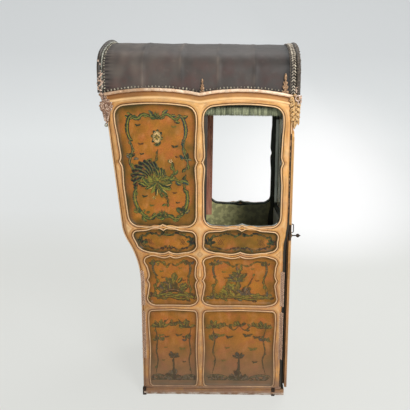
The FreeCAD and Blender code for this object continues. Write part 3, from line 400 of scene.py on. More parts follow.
def damask_finish():
    """Silk damask: satin figure of about 28 mm on a ribbed ground, with painted shade darkening it towards
    the front.
    """
    skin = Finish("silk_damask")
    base = settings().silk
    figure = skin.node("ShaderNodeTexVoronoi", {"Scale": 1000 / 28, "Randomness": 0.7, "Vector": skin.place},
                       feature="SMOOTH_F1")
    leafy = skin.node("ShaderNodeTexNoise", {"Scale": 1000 / 12, "Detail": 3.0, "Vector": skin.place})
    both = skin.node("ShaderNodeMath", {0: figure.outputs["Distance"], 1: leafy.outputs["Fac"]},
                     operation="MULTIPLY")
    pattern = skin.node("ShaderNodeValToRGB", {"Fac": both.outputs[0]}, ((0.17, grey(0)), (0.22, grey(1))))
    cloth = skin.coated(shade(base, 0.75), (pattern.outputs["Color"], shade(base, 1.2)),
                        (1.0, skin.clouds(140, grey(0.65), grey(1.2), 0.3, 0.7), "MULTIPLY"),
                        # painted shade towards the front
                        ([skin.within("X", 230, 900, 130), 0.8], "#23261A"))
    # the weave's ribs, drawn coarser than real ones so that they show
    ribs = skin.node("ShaderNodeTexWave", {"Scale": 1000 / 3.2 / 6.28, "Distortion": 0.6,
                                           "Vector": skin.place}, bands_direction="Z")
    skin.raised(ribs.outputs["Fac"], 0.4, 0.4)
    return skin.done(cloth, {"Roughness": 0.62, "Sheen Weight": 0.35})


def pile_finish(name, first, second, size, sheen, stretch=(1, 1, 1)):
    """Cut velvet or silk pile, brushed lighter where it lies another way."""
    skin = Finish(name)
    pile = skin.coated(skin.clouds(size, first, second, 0.35, 0.68, 5.0, stretch),
                       # painted shade: darker in the hollows
                       (skin.hollows(8, 0.3, 0.9), shade(first, 0.5)))
    skin.relief(1.6, 0.5)
    return skin.done(pile, {"Roughness": 0.8, "Sheen Weight": sheen, "Sheen Roughness": 0.4})


def metal_finish(name, first, second, metallic, rough):
    """Forged or cast metal, browned and dull with rubbed spots."""
    skin = Finish(name)
    brown = skin.coated(skin.clouds(11, first, second, 0.38, 0.66, 6.0),
                        # painted shade: darker in the hollows
                        (skin.hollows(5, 0.3, 0.9), shade(first, 0.5)))
    skin.relief(2.2, 0.4)
    return skin.done(brown, {"Metallic": metallic, "Roughness": rough})


def glass_finish():
    """Old crown glass: thin, clear with a grey-green cast and faint waves."""
    skin = Finish("crown_glass")
    skin.relief(60, 0.15)
    return skin.done(skin.clouds(80, "#C8D6CC", "#DCE6E0"),
                     {"Roughness": 0.05, "Transmission Weight": 0.85, "IOR": 1.5})


def paper_finish():
    """Matt seamless paper: pale at the foot, greyer above, with a pool of light beyond the chair's front."""
    skin = Finish("matt_paper")
    height = skin.node("ShaderNodeSeparateXYZ", {0: skin.place}).outputs["Z"]
    rise = skin.node("ShaderNodeMapRange", {"From Min": 0.0, "From Max": 4.5, "Value": height})
    pale = skin.node("ShaderNodeValToRGB", {"Fac": rise.outputs[0]},
                     ((0.0, "#E0E1DD"), (0.08, "#E8EAE9"), (0.24, "#E9ECEC"), (0.45, "#D8DBDC"),
                      (0.65, "#D3D6D7")))
    away = skin.node("ShaderNodeVectorMath", {0: skin.place, 1: (1.05, 3.0, 0.35)}, operation="DISTANCE")
    pool = skin.node("ShaderNodeMapRange", {"From Min": 0.45, "From Max": 1.5, "To Min": 1.0, "To Max": 0.0,
                                            "Value": away.outputs["Value"]}, interpolation_type="SMOOTHSTEP")
    colour = skin.coated(pale.outputs[0], (pool.outputs[0], "#FFFFFF"))
    # seen directly, through glass or as a reflection, the paper glows evenly
    share = skin.node("ShaderNodeLightPath").outputs
    seen = share["Is Camera Ray"]
    for way in ("Is Transmission Ray", "Is Glossy Ray"):
        seen = skin.node("ShaderNodeMath", {0: seen, 1: share[way]}, operation="MAXIMUM").outputs[0]
    seen = skin.node("ShaderNodeMath", {0: seen, 1: 0.8}, operation="MULTIPLY").outputs[0]
    glow = skin.node("ShaderNodeEmission", {"Color": colour})
    mix = skin.node("ShaderNodeMixShader", {0: seen, 1: skin.shader.outputs[0], 2: glow.outputs[0]})
    skin.tree.links.new(mix.outputs[0], skin.output.inputs["Surface"])
    return skin.done(colour, {"Roughness": 0.9})


FINISHES = {}


def finish(name):
    """The named material, made on first use."""
    gilt = settings().gilt
    makers = {
        "gilt": lambda: gilt_finish("water_gilt_wood", shade(gilt, 0.8), "#E0B27A", "#4A2A14", inside=True),
        "gilt_moulding": lambda: gilt_finish("rubbed_gilt_moulding", gilt, "#EFC48C", "#6E3C18"),
        "gilt_bead": lambda: gilt_finish("worn_gilt_bead", gilt, "#F0CFA6", "#4E2A12", 4),
        "worn_base": lambda: gilt_finish("mud_stained_gilding", "#B08A66", "#C9A88C", "#4A3420"),
        "gilt_carving": lambda: carved_finish("carved_gilt_gesso", "#D2A05E", "#F2D2A2", "#3A2410"),
        "rosy_carving": lambda: carved_finish("carved_rubbed_bole", "#866048", "#E6CAB4", "#33221C"),
        "spray": lambda: carved_finish("bronzed_leaf_carving", "#7E5C3E", "#DCB48C", "#20150C"),
        "foot_spray": lambda: carved_finish("pink_gesso_scroll", "#BE9A7E", "#F2DACA", "#2A2018"),
        "old_gilt": lambda: carved_finish("dirty_gilt_scales", "#A87E60", "#D8B498", "#33211A"),
        "gesso": lambda: gilt_finish("bare_gesso_edge", "#F0D6C0", "#FFF8F0", "#8A5230", 4),
        "lacquer": lacquer_finish,
        "paint": paint_finish,
        "leather": leather_finish,
        "painted_light": lambda: wood_finish("painted_light_strip", "#B4B8AE", "#E8EAE4", 0.8),
        "runner": lambda: wood_finish("red_pear_runner", "#B4644C", "#E2A488", 0.6),
        "plain_wood": lambda: wood_finish("oiled_beech_board", "#4A3220", "#7A5638", 0.6),
        "edge_shadow": lambda: wood_finish("painted_edge_shadow", "#17150F", "#3A3226", 0.8),
        "dark_wood": lambda: wood_finish("stained_limewood_frame", "#262019", "#4A4034", 0.48),
        "damask": damask_finish,
        "velvet": lambda: pile_finish("cut_velvet_cushion", "#22301F", "#3B4A2E", 60, 0.6),
        "silk_dark": lambda: pile_finish("silk_gimp_heading", "#222A22", "#3A4636", 9, 0.3),
        "silk_pale": lambda: pile_finish("silk_fringe", "#4C543C", "#C4C8A0", 4, 0.4, (1, 1, 0.03)),
        "welt": lambda: pile_finish("woollen_galloon", "#2C2620", "#75685A", 7, 0.3),
        "iron": lambda: metal_finish("forged_browned_iron", "#2A211B", "#4B3D33", 0.75, 0.55),
        "nails": lambda: metal_finish("domed_brass_nails", "#544C40", "#C6BEA8", 0.4, 0.4),
        "bronze": lambda: metal_finish("tarnished_gilt_braid", "#5A4E44", "#DCCFB8", 0.2, 0.5),
        "rear_bead": lambda: metal_finish("silvered_cord", "#4E4E46", "#C4C2B2", 0.2, 0.55),
        "glass": glass_finish,
    }
    if name not in FINISHES:
        FINISHES[name] = makers[name]()
    return FINISHES[name]


# ---------------------------------------------------------------- meshes

def steps(first, last, count):
    """Evenly spaced values from the first to the last, with both of them."""
    return [first + (last - first) * i / count for i in range(count + 1)]


def angles(count):
    """Evenly spaced angles round a circle."""
    return [math.tau * i / count for i in range(count)]


class Form:
    """Collects the points, faces and paint of one piece, in millimetres."""

    def __init__(self):
        self.points, self.faces, self.tones = [], [], []

    def add(self, points, faces, tone=(0, 0, 0)):
        start = len(self.points)
        self.points += points
        self.faces += [tuple(start + i for i in face) for face in faces]
        self.tones += [tone] * len(points)

    def append(self, other):
        """Takes in another form with its tones."""
        self.add(other.points, other.faces)
        self.tones[-len(other.tones):] = other.tones

    def grid(self, rows, across=False, along=False, caps=False):
        """Skins rows of points, closed across each row or along the rows where asked."""
        high, wide = len(rows), len(rows[0])
        faces = []
        for i in range(high if along else high - 1):
            for j in range(wide if across else wide - 1):
                k, m = (i + 1) % high, (j + 1) % wide
                faces.append((i * wide + j, i * wide + m, k * wide + m, k * wide + j))
        if caps:
            faces.append(tuple(range(wide - 1, -1, -1)))
            faces.append(tuple((high - 1) * wide + j for j in range(wide)))
        self.add([point for row in rows for point in row], faces)

    def mesh(self, name, recalculate=True, sharp=55):
        made = bpy.data.meshes.new(name)
        made.from_pydata([(x * MM, y * MM, z * MM) for x, y, z in self.points], [], self.faces)
        paint = made.color_attributes.new("paint", "FLOAT_COLOR", "POINT")
        paint.data.foreach_set("color", [c for tone in self.tones for c in (*tone[:3], 1.0)])
        if recalculate:
            work = bmesh.new()
            work.from_mesh(made)
            bmesh.ops.recalc_face_normals(work, faces=work.faces)
            work.to_mesh(made)
            work.free()
        made.shade_smooth()
        made.set_sharp_from_angle(angle=math.radians(sharp))
        return made

    def piece(self, name, look, body, slot, **choices):
        return place_piece(name, self.mesh(name, **choices), look, body)


def place_piece(name, mesh, look, body):
    """Puts a mesh in the scene as a named piece that rides on a body."""
    made = bpy.data.objects.new(name, mesh)
    bpy.context.collection.objects.link(made)
    mesh.materials.clear()
    mesh.materials.append(finish(look))
    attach(made, body)
    return made


def evaluated(piece):
    """A plain mesh of a piece with its modifiers applied."""
    graph = bpy.context.evaluated_depsgraph_get()
    return bpy.data.meshes.new_from_object(piece.evaluated_get(graph))


def solid_tree(*nodes):
    """A search tree over CAD nodes, for finding their faces by rays."""
    points, faces = [], []
    for name in nodes:
        mesh = frame["nodes"][name].data
        start = len(points)
        points += [v.co.copy() for v in mesh.vertices]
        faces += [tuple(start + i for i in p.vertices) for p in mesh.polygons]
    return BVHTree.FromPolygons(points, faces)


def ray(tree, origin, direction):
    """Where a ray meets a tree, in millimetres."""
    hit = tree.ray_cast(Vector(origin) * MM, Vector(direction).normalized())[0]
    if hit is None:
        raise RuntimeError(f"no surface is met from {origin}")
    return hit / MM


def sampled(function, low, high, step):
    """A quick table of a function of height, read back by straight interpolation."""
    count = int((high - low) / step)
    table = [function(value) for value in steps(low, high, count)]

    def read(value):
        place = min(max((value - low) / (high - low) * count, 0), count - 1e-6)
        i = int(place)
        return table[i] + (table[i + 1] - table[i]) * (place - i)
    return read


REAR_TREE = solid_tree("rear_post_right")
FRONT_TREE = solid_tree("front_post_right")
TOP_TREE = solid_tree("rear_post_right", "front_post_right", "cornice_rail_right")
VAULT_TREE = solid_tree("roof_vault")
INSIDE_SIDE = -SIDE_FACE + 4
rear_x = sampled(lambda z: ray(REAR_TREE, (-900, INSIDE_SIDE, z), (1, 0, 0)).x, 36, 1440, 6)
front_x = sampled(lambda z: ray(FRONT_TREE, (900, INSIDE_SIDE, z), (-1, 0, 0)).x, 36, 1440, 6)
CORNICE_ENDS = (rear_x(1440) + 1.5, front_x(1440) - 1.5)
cornice_z = sampled(lambda x: ray(TOP_TREE, (x, INSIDE_SIDE, 1700), (0, 0, -1)).z, *CORNICE_ENDS, 8)
DOOR_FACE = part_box("door_stiles")[1][0] / MM
ROOF_REAR, ROOF_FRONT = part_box("roof_vault")[0][0] / MM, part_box("roof_vault")[1][0] / MM


def on_side(side):
    return lambda u, v, h: (u, side * (SIDE_FACE + h), v)


def on_back(u, v, h):
    return (rear_x(v) - h, u, v)


def on_door(u, v, h):
    return (DOOR_FACE + h, u, v)


def bays():
    """Left and right edges of the two columns of side openings, as functions of height."""
    return (
        (lambda z: rear_x(z) + REAR_POST_WIDTH, lambda z: MIDDLE_POST[0]),
        (lambda z: MIDDLE_POST[1], lambda z: front_x(z) - FRONT_POST_WIDTH),
    )


# ---------------------------------------------------------------- outlines

def cut_back(run, cut):
    """A run of points shortened at both ends by a length along it."""
    for _ in range(2):
        left, kept = cut, list(run)
        while len(kept) > 2:
            step = math.dist(kept[0], kept[1])
            if step > left:
                break
            left -= step
            kept.pop(0)
        share = min(left / max(math.dist(kept[0], kept[1]), 1e-6), 0.95)
        kept[0] = tuple(a + (b - a) * share for a, b in zip(kept[0], kept[1]))
        run = kept[::-1]
    return run


def corner_arc(start, corner, end, count=6):
    """A round corner between two points, leaving both ends out."""
    first = (Vector(start) - Vector(corner)).normalized()
    second = (Vector(end) - Vector(corner)).normalized()
    weight = math.sin(math.acos(max(-1, min(1, first.dot(second)))) / 2)
    points = []
    for i in range(1, count):
        t = i / count
        parts = ((1 - t) ** 2, 2 * weight * t * (1 - t), t * t)
        points.append(tuple(sum(k * p[axis] for k, p in zip(parts, (start, corner, end))) / sum(parts)
                            for axis in (0, 1)))
    return points


def interpolated(table, value):
    """Reads a table of places and heights; a marked place is a sharp cusp, the others are rounded."""
    for (a, low, first), (b, high, last) in zip(table, table[1:]):
        if value <= b:
            u = max(value - a, 0) / (b - a)
            if last and not first:
                part = u * u
            elif first and not last:
                part = 1 - (1 - u) ** 2
            else:
                part = u * u * (3 - 2 * u)
            return low + (high - low) * part
    return table[-1][1]


class Opening:
    """An opening of a frame: its sawn edge as built, and the carved edge of the moulding laid over it."""

    def __init__(self, left, right, row):
        self.name, self.foot, self.head, self.rise, self.drop, self.corner, self.arched, self.knot = row
        self.left, self.right = left, right

    def side_wave(self, v):
        share = (v - self.foot) / (self.head - self.foot)
        return interpolated(SIDE_WAVES.get(self.name, NO_WAVE), min(max(share, 0), 1))

    def lift(self, s, head):
        """How far the carved head or foot strays outwards at a share of the width."""
        if head and self.arched:
            return self.rise * (1 - (2 * s - 1) ** 2)
        table = (HEAD_WAVES if head else FOOT_WAVES).get(self.name, NO_WAVE)
        return interpolated(table, min(s, 1 - s))

    def spot(self, s, t):
        """A place from shares of the width and height between the carved edges."""
        low, high = self.foot - self.lift(s, False), self.head + self.lift(s, True)
        v = low + (high - low) * t
        wave = self.side_wave(v)
        left, right = self.left(v) - wave, self.right(v) + wave
        return Vector((left + (right - left) * s, v))

    def carved(self, step=5.0):
        """The closed line of the carved edge: up the left, over the head, down and back."""
        count, wide = round((self.head - self.foot) / step), 44
        # the cusp in the middle of a head or foot has points of its own
        across = sorted([s for s in steps(0, 1, wide) if abs(s - 0.5) > 0.015] + [0.48, 0.5, 0.52])
        up = [tuple(self.spot(0, i / count)) for i in range(count + 1)]
        over = [tuple(self.spot(s, 1)) for s in across]
        down = [tuple(self.spot(1, 1 - i / count)) for i in range(count + 1)]
        under = [tuple(self.spot(s, 0)) for s in reversed(across)]
        return rounded((up, over, down, under), self.corner)

    def sawn(self, step=7.0):
        """The closed line of the opening as built."""
        pinch = (lambda z: 6.5 * math.exp(-abs(z - self.knot) / 9)) if self.knot else (lambda z: 0.0)
        count = round((self.head - self.foot) / step)
        rows = steps(self.foot, self.head, count)
        up = [(self.left(z) - pinch(z), z) for z in rows]
        down = [(self.right(z) + pinch(z), z) for z in reversed(rows)]
        over = [self.sawn_end(t, up[-1], down[0], self.rise, 1) for t in steps(0, 1, 40)]
        under = [self.sawn_end(t, down[-1], up[0], self.drop, -1) for t in steps(0, 1, 40)]
        return rounded((up, over, down, under), self.corner)

    def sawn_end(self, t, start, end, height, way):
        """A place on the head (way 1) or foot (way -1): a round arch, a shallow brace, or straight."""
        s = 1 - abs(2 * t - 1)
        if way > 0 and self.arched:
            lift = height * (1 - (2 * t - 1) ** 2)
        elif height:
            lift = height * s + math.copysign(12 * s * (1 - s), way if way > 0 else height)
        else:
            lift = 0.0
        return start[0] + (end[0] - start[0]) * t, start[1] + way * lift


def rounded(runs, corner):
    """Joins four runs of points with round corners."""
    corners = [run[-1] for run in runs]
    runs = [cut_back(run, corner) for run in runs]
    line = []
    for number, run in enumerate(runs):
        line += run
        line += corner_arc(run[-1], corners[number], runs[(number + 1) % 4][0])
    return line


class Rim:
    """Finds how far a place lies outside a closed or open line that has its outside on the left."""

    def __init__(self, lines, closed=True, step=2.0):
        self.spots = []
        for line in lines:
            for a, b in zip(line, line[1:] + line[:1] if closed else line[1:]):
                run = math.dist(a, b)
                if run < 1e-6:
                    continue
                normal = (-(b[1] - a[1]) / run, (b[0] - a[0]) / run)
                count = max(math.ceil(run / step), 1)
                for i in range(count):
                    k = i / count
                    self.spots.append(((a[0] + (b[0] - a[0]) * k, a[1] + (b[1] - a[1]) * k), normal))
        self.tree = KDTree(len(self.spots))
        for i, ((u, v), _) in enumerate(self.spots):
            self.tree.insert((u, v, 0), i)
        self.tree.balance()

    def outside(self, u, v):
        _, number, away = self.tree.find((u, v, 0))
        (a, b), normal = self.spots[number]
        return math.copysign(away, (u - a) * normal[0] + (v - b) * normal[1])


def swollen(form, place, openings, edges, low, high, left, right, step=4.0):
    """The broad rounded face of a frame, between the carved edges and the outer edges."""
    holes = Rim([opening.carved() for opening in openings])
    rims = Rim(edges, False)
    rows = math.ceil((high - low) / step)
    wide = math.ceil((right((low + high) / 2) - left((low + high) / 2)) / step)
    wide = max(wide, math.ceil((right(high) - left(high)) / step))
    points, near, tones = [], [], []
    for i in range(rows + 1):
        v = low + (high - low) * i / rows
        for j in range(wide + 1):
            u = left(v) + (right(v) - left(v)) * j / wide
            away = min(holes.outside(u, v), rims.outside(u, v))
            near.append(away)
            points.append(place(u, v, straight(SWELL, away)))
            # tones: darker near the carved edges as brown size with painted shade, paler on the crest as
            # rubbing with painted highlight, broken by random patches and streaks
            blur = noise.noise(Vector((u / 60, v / 35, 3))) + 0.6 * noise.noise(Vector((u / 16, v / 28, 7)))
            streak = noise.noise(Vector((away / 5, (u + v) / 110, 11)))
            size = max(0.5 - away / 26, 0) + max(blur, 0) * 0.35
            rubbed = max(min((away - 12) / 10, 1), 0) * max(0.35 + 0.9 * blur, 0) + max(-streak, 0) * 0.7
            tones.append((size, rubbed, max(streak - 0.05, 0) * 1.1))
    faces = []
    for i in range(rows):
        for j in range(wide):
            a = i * (wide + 1) + j
            corners = (a, a + 1, a + wide + 2, a + wide + 1)
            if min(near[k] for k in corners) > 5.5:
                faces.append(corners)
    form.add(points, faces)
    form.tones[-len(tones):] = tones


def straight(table, value):
    """Reads a table of pairs by straight lines."""
    for (a, low), (b, high) in zip(table, table[1:]):
        if value <= b:
            return low + (high - low) * max(value - a, 0) / (b - a)
    return table[-1][1]


def sweep(form, path, profile, place, closed=True, tones=None):
    """Runs a profile of offsets and heights along a flat path, with a tone for each of its points."""
    rows, count = [], len(path)
    for i, (u, v) in enumerate(path):
        before = path[i - 1] if closed or i else path[i]
        after = path[(i + 1) % count] if closed or i < count - 1 else path[i]
        run = max(math.hypot(after[0] - before[0], after[1] - before[1]), 1e-6)
        nu, nv = -(after[1] - before[1]) / run, (after[0] - before[0]) / run
        rows.append([place(u + nu * d, v + nv * d, h) for d, h in profile])
    form.grid(rows, across=True, along=closed, caps=not closed)
    if tones:
        form.tones[-len(rows) * len(profile):] = [(a, b, 0) for a, b in tones] * len(rows)


# ---------------------------------------------------------------- repeats by Geometry Nodes

def string_tree():
    """A node group that sets small rounded solids at a pitch along paths."""
    if "strung_beads" in bpy.data.node_groups:
        return bpy.data.node_groups["strung_beads"]
    tree = bpy.data.node_groups.new("strung_beads", "GeometryNodeTree")
    for label, kind in (("Path", "Geometry"), ("Pitch", "Float"), ("Size", "Vector"), ("Centre", "Vector"),
                        ("Tilt", "Float"), ("Uneven", "Float"), ("Seed", "Int"), ("Finish", "Material")):
        tree.interface.new_socket(label, in_out="INPUT", socket_type=f"NodeSocket{kind}")
    tree.interface.new_socket("Beads", in_out="OUTPUT", socket_type="NodeSocketGeometry")
    given = add_node(tree, "NodeGroupInput").outputs
    line = add_node(tree, "GeometryNodeMeshToCurve", {"Mesh": given["Path"]})
    points = add_node(tree, "GeometryNodeCurveToPoints", {"Curve": line.outputs[0], "Length": given["Pitch"]},
                      mode="LENGTH").outputs
    # each bead lies along the path, with its upper side away from the centre
    spot = add_node(tree, "GeometryNodeInputPosition").outputs[0]
    facing = add_node(tree, "ShaderNodeVectorMath", {0: spot, 1: given["Centre"]}, operation="SUBTRACT")
    turned = add_node(tree, "FunctionNodeAxesToRotation",
                      {"Primary Axis": points["Tangent"], "Secondary Axis": facing.outputs[0]},
                      primary_axis="X", secondary_axis="Z")
    tilt = add_node(tree, "FunctionNodeAxisAngleToRotation", {"Axis": (0, 0, 1), "Angle": given["Tilt"]})
    leaning = add_node(tree, "FunctionNodeRotateRotation",
                       {"Rotation": turned.outputs[0], "Rotate By": tilt.outputs[0]}, rotation_space="LOCAL")
    low, high = (add_node(tree, "ShaderNodeMath", {0: 1.0, 1: given["Uneven"]}, operation=way).outputs[0]
                 for way in ("SUBTRACT", "ADD"))
    chance = add_node(tree, "FunctionNodeRandomValue", {2: low, 3: high, "Seed": given["Seed"]},
                      data_type="FLOAT")
    scale = add_node(tree, "ShaderNodeVectorMath", {0: given["Size"], "Scale": chance.outputs[1]},
                     operation="SCALE")
    bead = add_node(tree, "GeometryNodeMeshUVSphere", {"Segments": 8, "Rings": 5, "Radius": 0.5})
    placed = add_node(tree, "GeometryNodeInstanceOnPoints",
                      {"Points": points["Points"], "Instance": bead.outputs["Mesh"],
                       "Rotation": leaning.outputs[0], "Scale": scale.outputs[0]})
    real = add_node(tree, "GeometryNodeRealizeInstances", {0: placed.outputs[0]})
    smooth = add_node(tree, "GeometryNodeSetShadeSmooth", {0: real.outputs[0]})
    coloured = add_node(tree, "GeometryNodeSetMaterial",
                        {"Geometry": smooth.outputs[0], "Material": given["Finish"]})
    add_node(tree, "NodeGroupOutput", {0: coloured.outputs[0]})
    return tree


def strung(paths, pitch, size, look, centre=(0, 0, 0), tilt=0.0, uneven=0.0, seed=1):
    """A mesh of beads along paths of points in millimetres; sizes run along, across and out."""
    line = bpy.data.meshes.new("path")
    points, edges = [], []
    for path in paths:
        start = len(points)
        points += [Vector(p) * MM for p in path]
        edges += [(start + i, start + i + 1) for i in range(len(path) - 1)]
    line.from_pydata(points, edges, [])
    carrier = bpy.data.objects.new("path", line)
    bpy.context.collection.objects.link(carrier)
    modifier = carrier.modifiers.new("beads", "NODES")
    tree = string_tree()
    modifier.node_group = tree
    given = {"Pitch": pitch * MM, "Size": [s * MM for s in size], "Centre": [c * MM for c in centre],
             "Tilt": math.radians(tilt), "Uneven": float(uneven), "Seed": seed, "Finish": finish(look)}
    for socket in tree.interface.items_tree:
        if socket.in_out == "INPUT" and socket.name in given:
            modifier[socket.identifier] = given[socket.name]
    made = evaluated(carrier)
    bpy.data.objects.remove(carrier)
    return made


def joined(name, meshes, look, body):
    """One piece from several meshes."""
    work = bmesh.new()
    for mesh in meshes:
        work.from_mesh(mesh)
    made = bpy.data.meshes.new(name)
    work.to_mesh(made)
    work.free()
    made.shade_smooth()
    return place_piece(name, made, look, body)


# ---------------------------------------------------------------- stage

class SEDAN_OT_stage(bpy.types.Operator):
    """Makes the pale paper sweep, the lamps and the camera."""
    bl_idname = "sedan.stage"
    bl_label = "Stage"

    def execute(self, context):
        form = Form()
        wide, back, bend = 9000, 1500, 1500
        sweep_up = [(back + bend * math.sin(a), bend - bend * math.cos(a))
                    for a in (0.3, 0.6, 0.9, 1.2, 1.45, 1.5708)]
        form.grid([[(-wide, y, z), (wide, y, z)]
                   for y, z in [(-wide, 0), (back, 0)] + sweep_up + [(back + bend, 7000)]])
        paper = bpy.data.objects.new("paper_sweep", form.mesh("paper_sweep", recalculate=False, sharp=80))
        paper.data.materials.append(paper_finish())
        context.collection.objects.link(paper)

        # name, place, point it faces, watts and width of each lamp
        for name, spot, aim, power, size in (
                ("key_lamp", (1.7, -3.3, 2.9), (0, 0, 1.0), 111, 1.2),
                ("fill_lamp", (-2.6, -2.6, 1.6), (0, 0, 0.8), 14, 2.2),
                ("window_lamp", (0.35, -3.5, 1.55), (0.15, 0.3, 1.1), 11, 0.6),
                ("top_lamp", (0.3, 0.4, 4.0), (0, 0, 1.2), 34, 1.8),
                ("back_lamp", (1.6, 2.1, 2.4), (0, 0, 1.0), 42, 1.4)):
            lamp = bpy.data.lights.new(name, "AREA")
            lamp.energy, lamp.size = power, size
            holder = bpy.data.objects.new(name, lamp)
            holder.location = spot
            holder.rotation_euler = (Vector(aim) - Vector(spot)).to_track_quat("-Z", "Y").to_euler()
            context.collection.objects.link(holder)
        world = bpy.data.worlds.new("studio_air")
        world.use_nodes = True
        back = world.node_tree.nodes["Background"]
        back.inputs["Color"].default_value = linear("#EDF0F2")
        back.inputs["Strength"].default_value = 0.36
        context.scene.world = world

        lens = bpy.data.cameras.new("camera")
        lens.lens, lens.sensor_width, lens.shift_x = 42.5, 36.0, -0.0707
        camera = bpy.data.objects.new("camera", lens)
        turn = Matrix.Rotation(math.radians(90 - 10.5), 4, "X") @ Matrix.Rotation(math.radians(0.6), 4, "Z")
        camera.matrix_world = Matrix.Translation((0.152, -2.505, 1.357)) @ turn
        context.collection.objects.link(camera)
        context.scene.camera = camera
        context.scene.view_settings.view_transform = "Standard"
        return {"FINISHED"}


class SEDAN_OT_finishes(bpy.types.Operator):
    """Gives every plain frame, board and iron its material."""
    bl_idname = "sedan.finishes"
    bl_label = "Finishes"

    def execute(self, context):
        looks = {"gilt_wood": "gilt", "lacquer_panel": "lacquer", "plain_wood": "plain_wood",
                 "dark_wood": "dark_wood", "roof_leather": "leather", "green_damask": "damask",
                 "green_velvet": "velvet", "window_glass": "glass", "iron": "iron"}
        special = {"roof_vault": "plain_wood"}
        for part in frame["record"]["subparts"]:
            name = part["node"]
            node = frame["nodes"][name]
            node.data.materials.clear()
            node.data.materials.append(finish(special.get(name, looks[part["material_slot"]])))
        return {"FINISHED"}


# ---------------------------------------------------------------- mouldings

def side_openings():
    """The openings of a side, the rear column from its head down and then the front one."""
    return [Opening(left, right, row) for left, right in bays() for row in ROWS]


FRONT_WINDOW = len(ROWS)


def back_openings():
    return [Opening(lambda z: -BACK_HALF, lambda z: BACK_HALF, row) for row in ROWS]


def door_openings():
    return [Opening(lambda z: -DOOR_HALF, lambda z: DOOR_HALF, row) for row in DOOR_ROWS]


def post_heights():
    """The heights of the points that mouldings along the posts pass through."""
    return range(48, 1442, 8)


def trimmed(mesh):
    """Drops the points that no face uses."""
    work = bmesh.new()
    work.from_mesh(mesh)
    bmesh.ops.delete(work, geom=[v for v in work.verts if not v.link_faces], context="VERTS")
    work.to_mesh(mesh)
    work.free()
    return mesh


class SEDAN_OT_side_mouldings(bpy.types.Operator):
    """Carves the frames of both sides: pale beads round the openings, a broad swelling between them."""
    bl_idname = "sedan.side_mouldings"
    bl_label = "Side mouldings"

    def execute(self, context):
        rear = [(rear_x(z), z) for z in reversed(post_heights())]
        front = [(front_x(z), z) for z in post_heights()]
        start, end = CORNICE_ENDS
        top = [(x, cornice_z(x) - 30) for x in steps(end, start, 100)]
        foot_rear, foot_front = rear_x(60), front_x(60)
        base = [(foot_rear - 20, 38), (foot_front + 20, 38)]
        for word, side in SIDES:
            place = on_side(side)
            beads = Form()
            for opening in side_openings():
                sweep(beads, opening.carved(), OPENING_MOULD, place, tones=OPENING_TONES)
            sweep(beads, rear, EDGE_MOULD, place, False, EDGE_TONES)
            sweep(beads, front, EDGE_MOULD, place, False, EDGE_TONES)
            beads.piece(f"opening_mouldings_{word}", "gilt_bead", "cabin", "gilt_wood")
            body = Form()
            swollen(body, place, side_openings(), [rear, front, top, base], 40, 1440,
                    lambda z: rear_x(z) + 3, lambda z: front_x(z) - 3)
            mesh = trimmed(body.mesh("frame_swelling"))
            if (mesh.polygons[0].normal.y > 0) != (side > 0):
                mesh.flip_normals()
            place_piece(f"frame_swelling_{word}", mesh, "gilt_moulding", "cabin")
            rails = Form()
            upper = ((-11, -2), (-12, 2.5), (-9, 4.6), (-6, 3.0), (-4.6, 1.2), (-3, 3.0), (-1, 4.0),
                     (1.2, 2.4), (2, -2))
            plinth = ((-8, 1), (-8, 6), (-4, 8.4), (2, 9), (7, 7.6), (9, 5.6), (9, 1))
            sweep(rails, [(foot_front - 3, 36), (foot_rear + 3, 36)], upper, place, False)
            sweep(rails, [(foot_front - 2, 16), (foot_rear + 2, 16)], plinth, place, False)
            rails.piece(f"base_mouldings_{word}", "worn_base", "cabin", "gilt_wood")
        return {"FINISHED"}


class SEDAN_OT_edge_shadows(bpy.types.Operator):
    """Lays a near-black strip along the broken front edge of the lower front posts: painted shade of the gap
    beside the door.
    """
    bl_idname = "sedan.bare_edges"
    bl_label = "Edge shadows"

    def execute(self, context):
        form = Form()
        for _, side in SIDES:
            rows = []
            for z in steps(48, 1278, 300):
                # the painted shade reaches further back below the belt, where the edge is broken deeper, with
                # a ragged inner edge
                deep = 3.5 + 5 * min(max((930 - z) / 90, 0), 1)
                deep += 3.5 * noise.noise(Vector((z / 34, side, 2)))
                deep += 2.5 * noise.noise(Vector((z / 9, side, 5)))
                rows.append([(front_x(z) + d, side * (SIDE_FACE + h), z)
                             for d, h in ((0.7, -4), (0.7, 4.4), (-deep, 4.4), (-deep, -1))])
            form.grid(rows, across=True, caps=True)
        form.piece("post_edge_shadows", "edge_shadow", "cabin", "gilt_wood")
        return {"FINISHED"}


class SEDAN_OT_knots(bpy.types.Operator):
    """Carves the small paired scrolls where the posts narrow."""
    bl_idname = "sedan.knots"
    bl_label = "Post knots"

    def execute(self, context):
        form = Form()
        for _, side in SIDES:
            middle = sum(MIDDLE_POST) / 2
            spots = [(middle, HIGH_KNOT, 12.0), (middle, LOW_KNOT, 11.0), (middle, 747.0, 12.0)]
            spots += [(rear_x(z) + 17, z, 8.0) for z in (HIGH_KNOT, LOW_KNOT)]
            spots += [(front_x(z) - 19, z, 9.0) for z in (HIGH_KNOT, LOW_KNOT)]
            for x, z, reach in spots:
                # a cross band, with a scroll rolled against it from above and from below
                for way, across, tall, proud in ((0, 0.9, 2.2, 7.6), (1, 0.62, 3.6, 7.4),
                                                 (-1, 0.62, 3.6, 7.4)):
                    rows = []
                    for k in steps(-1, 1, 10):
                        wide = math.sqrt(max(1 - k * k, 0.02))
                        height = z + way * (7.5 - 2.5 * k * k)
                        rows.append([(x + reach * across * k,
                                      side * (SIDE_FACE + proud * wide * (0.6 + 0.4 * math.cos(a))),
                                      height + tall * wide * math.sin(a)) for a in angles(10)])
                    form.grid(rows, across=True, caps=True)
        form.piece("post_knots", "gilt_bead", "cabin", "gilt_wood")
        return {"FINISHED"}


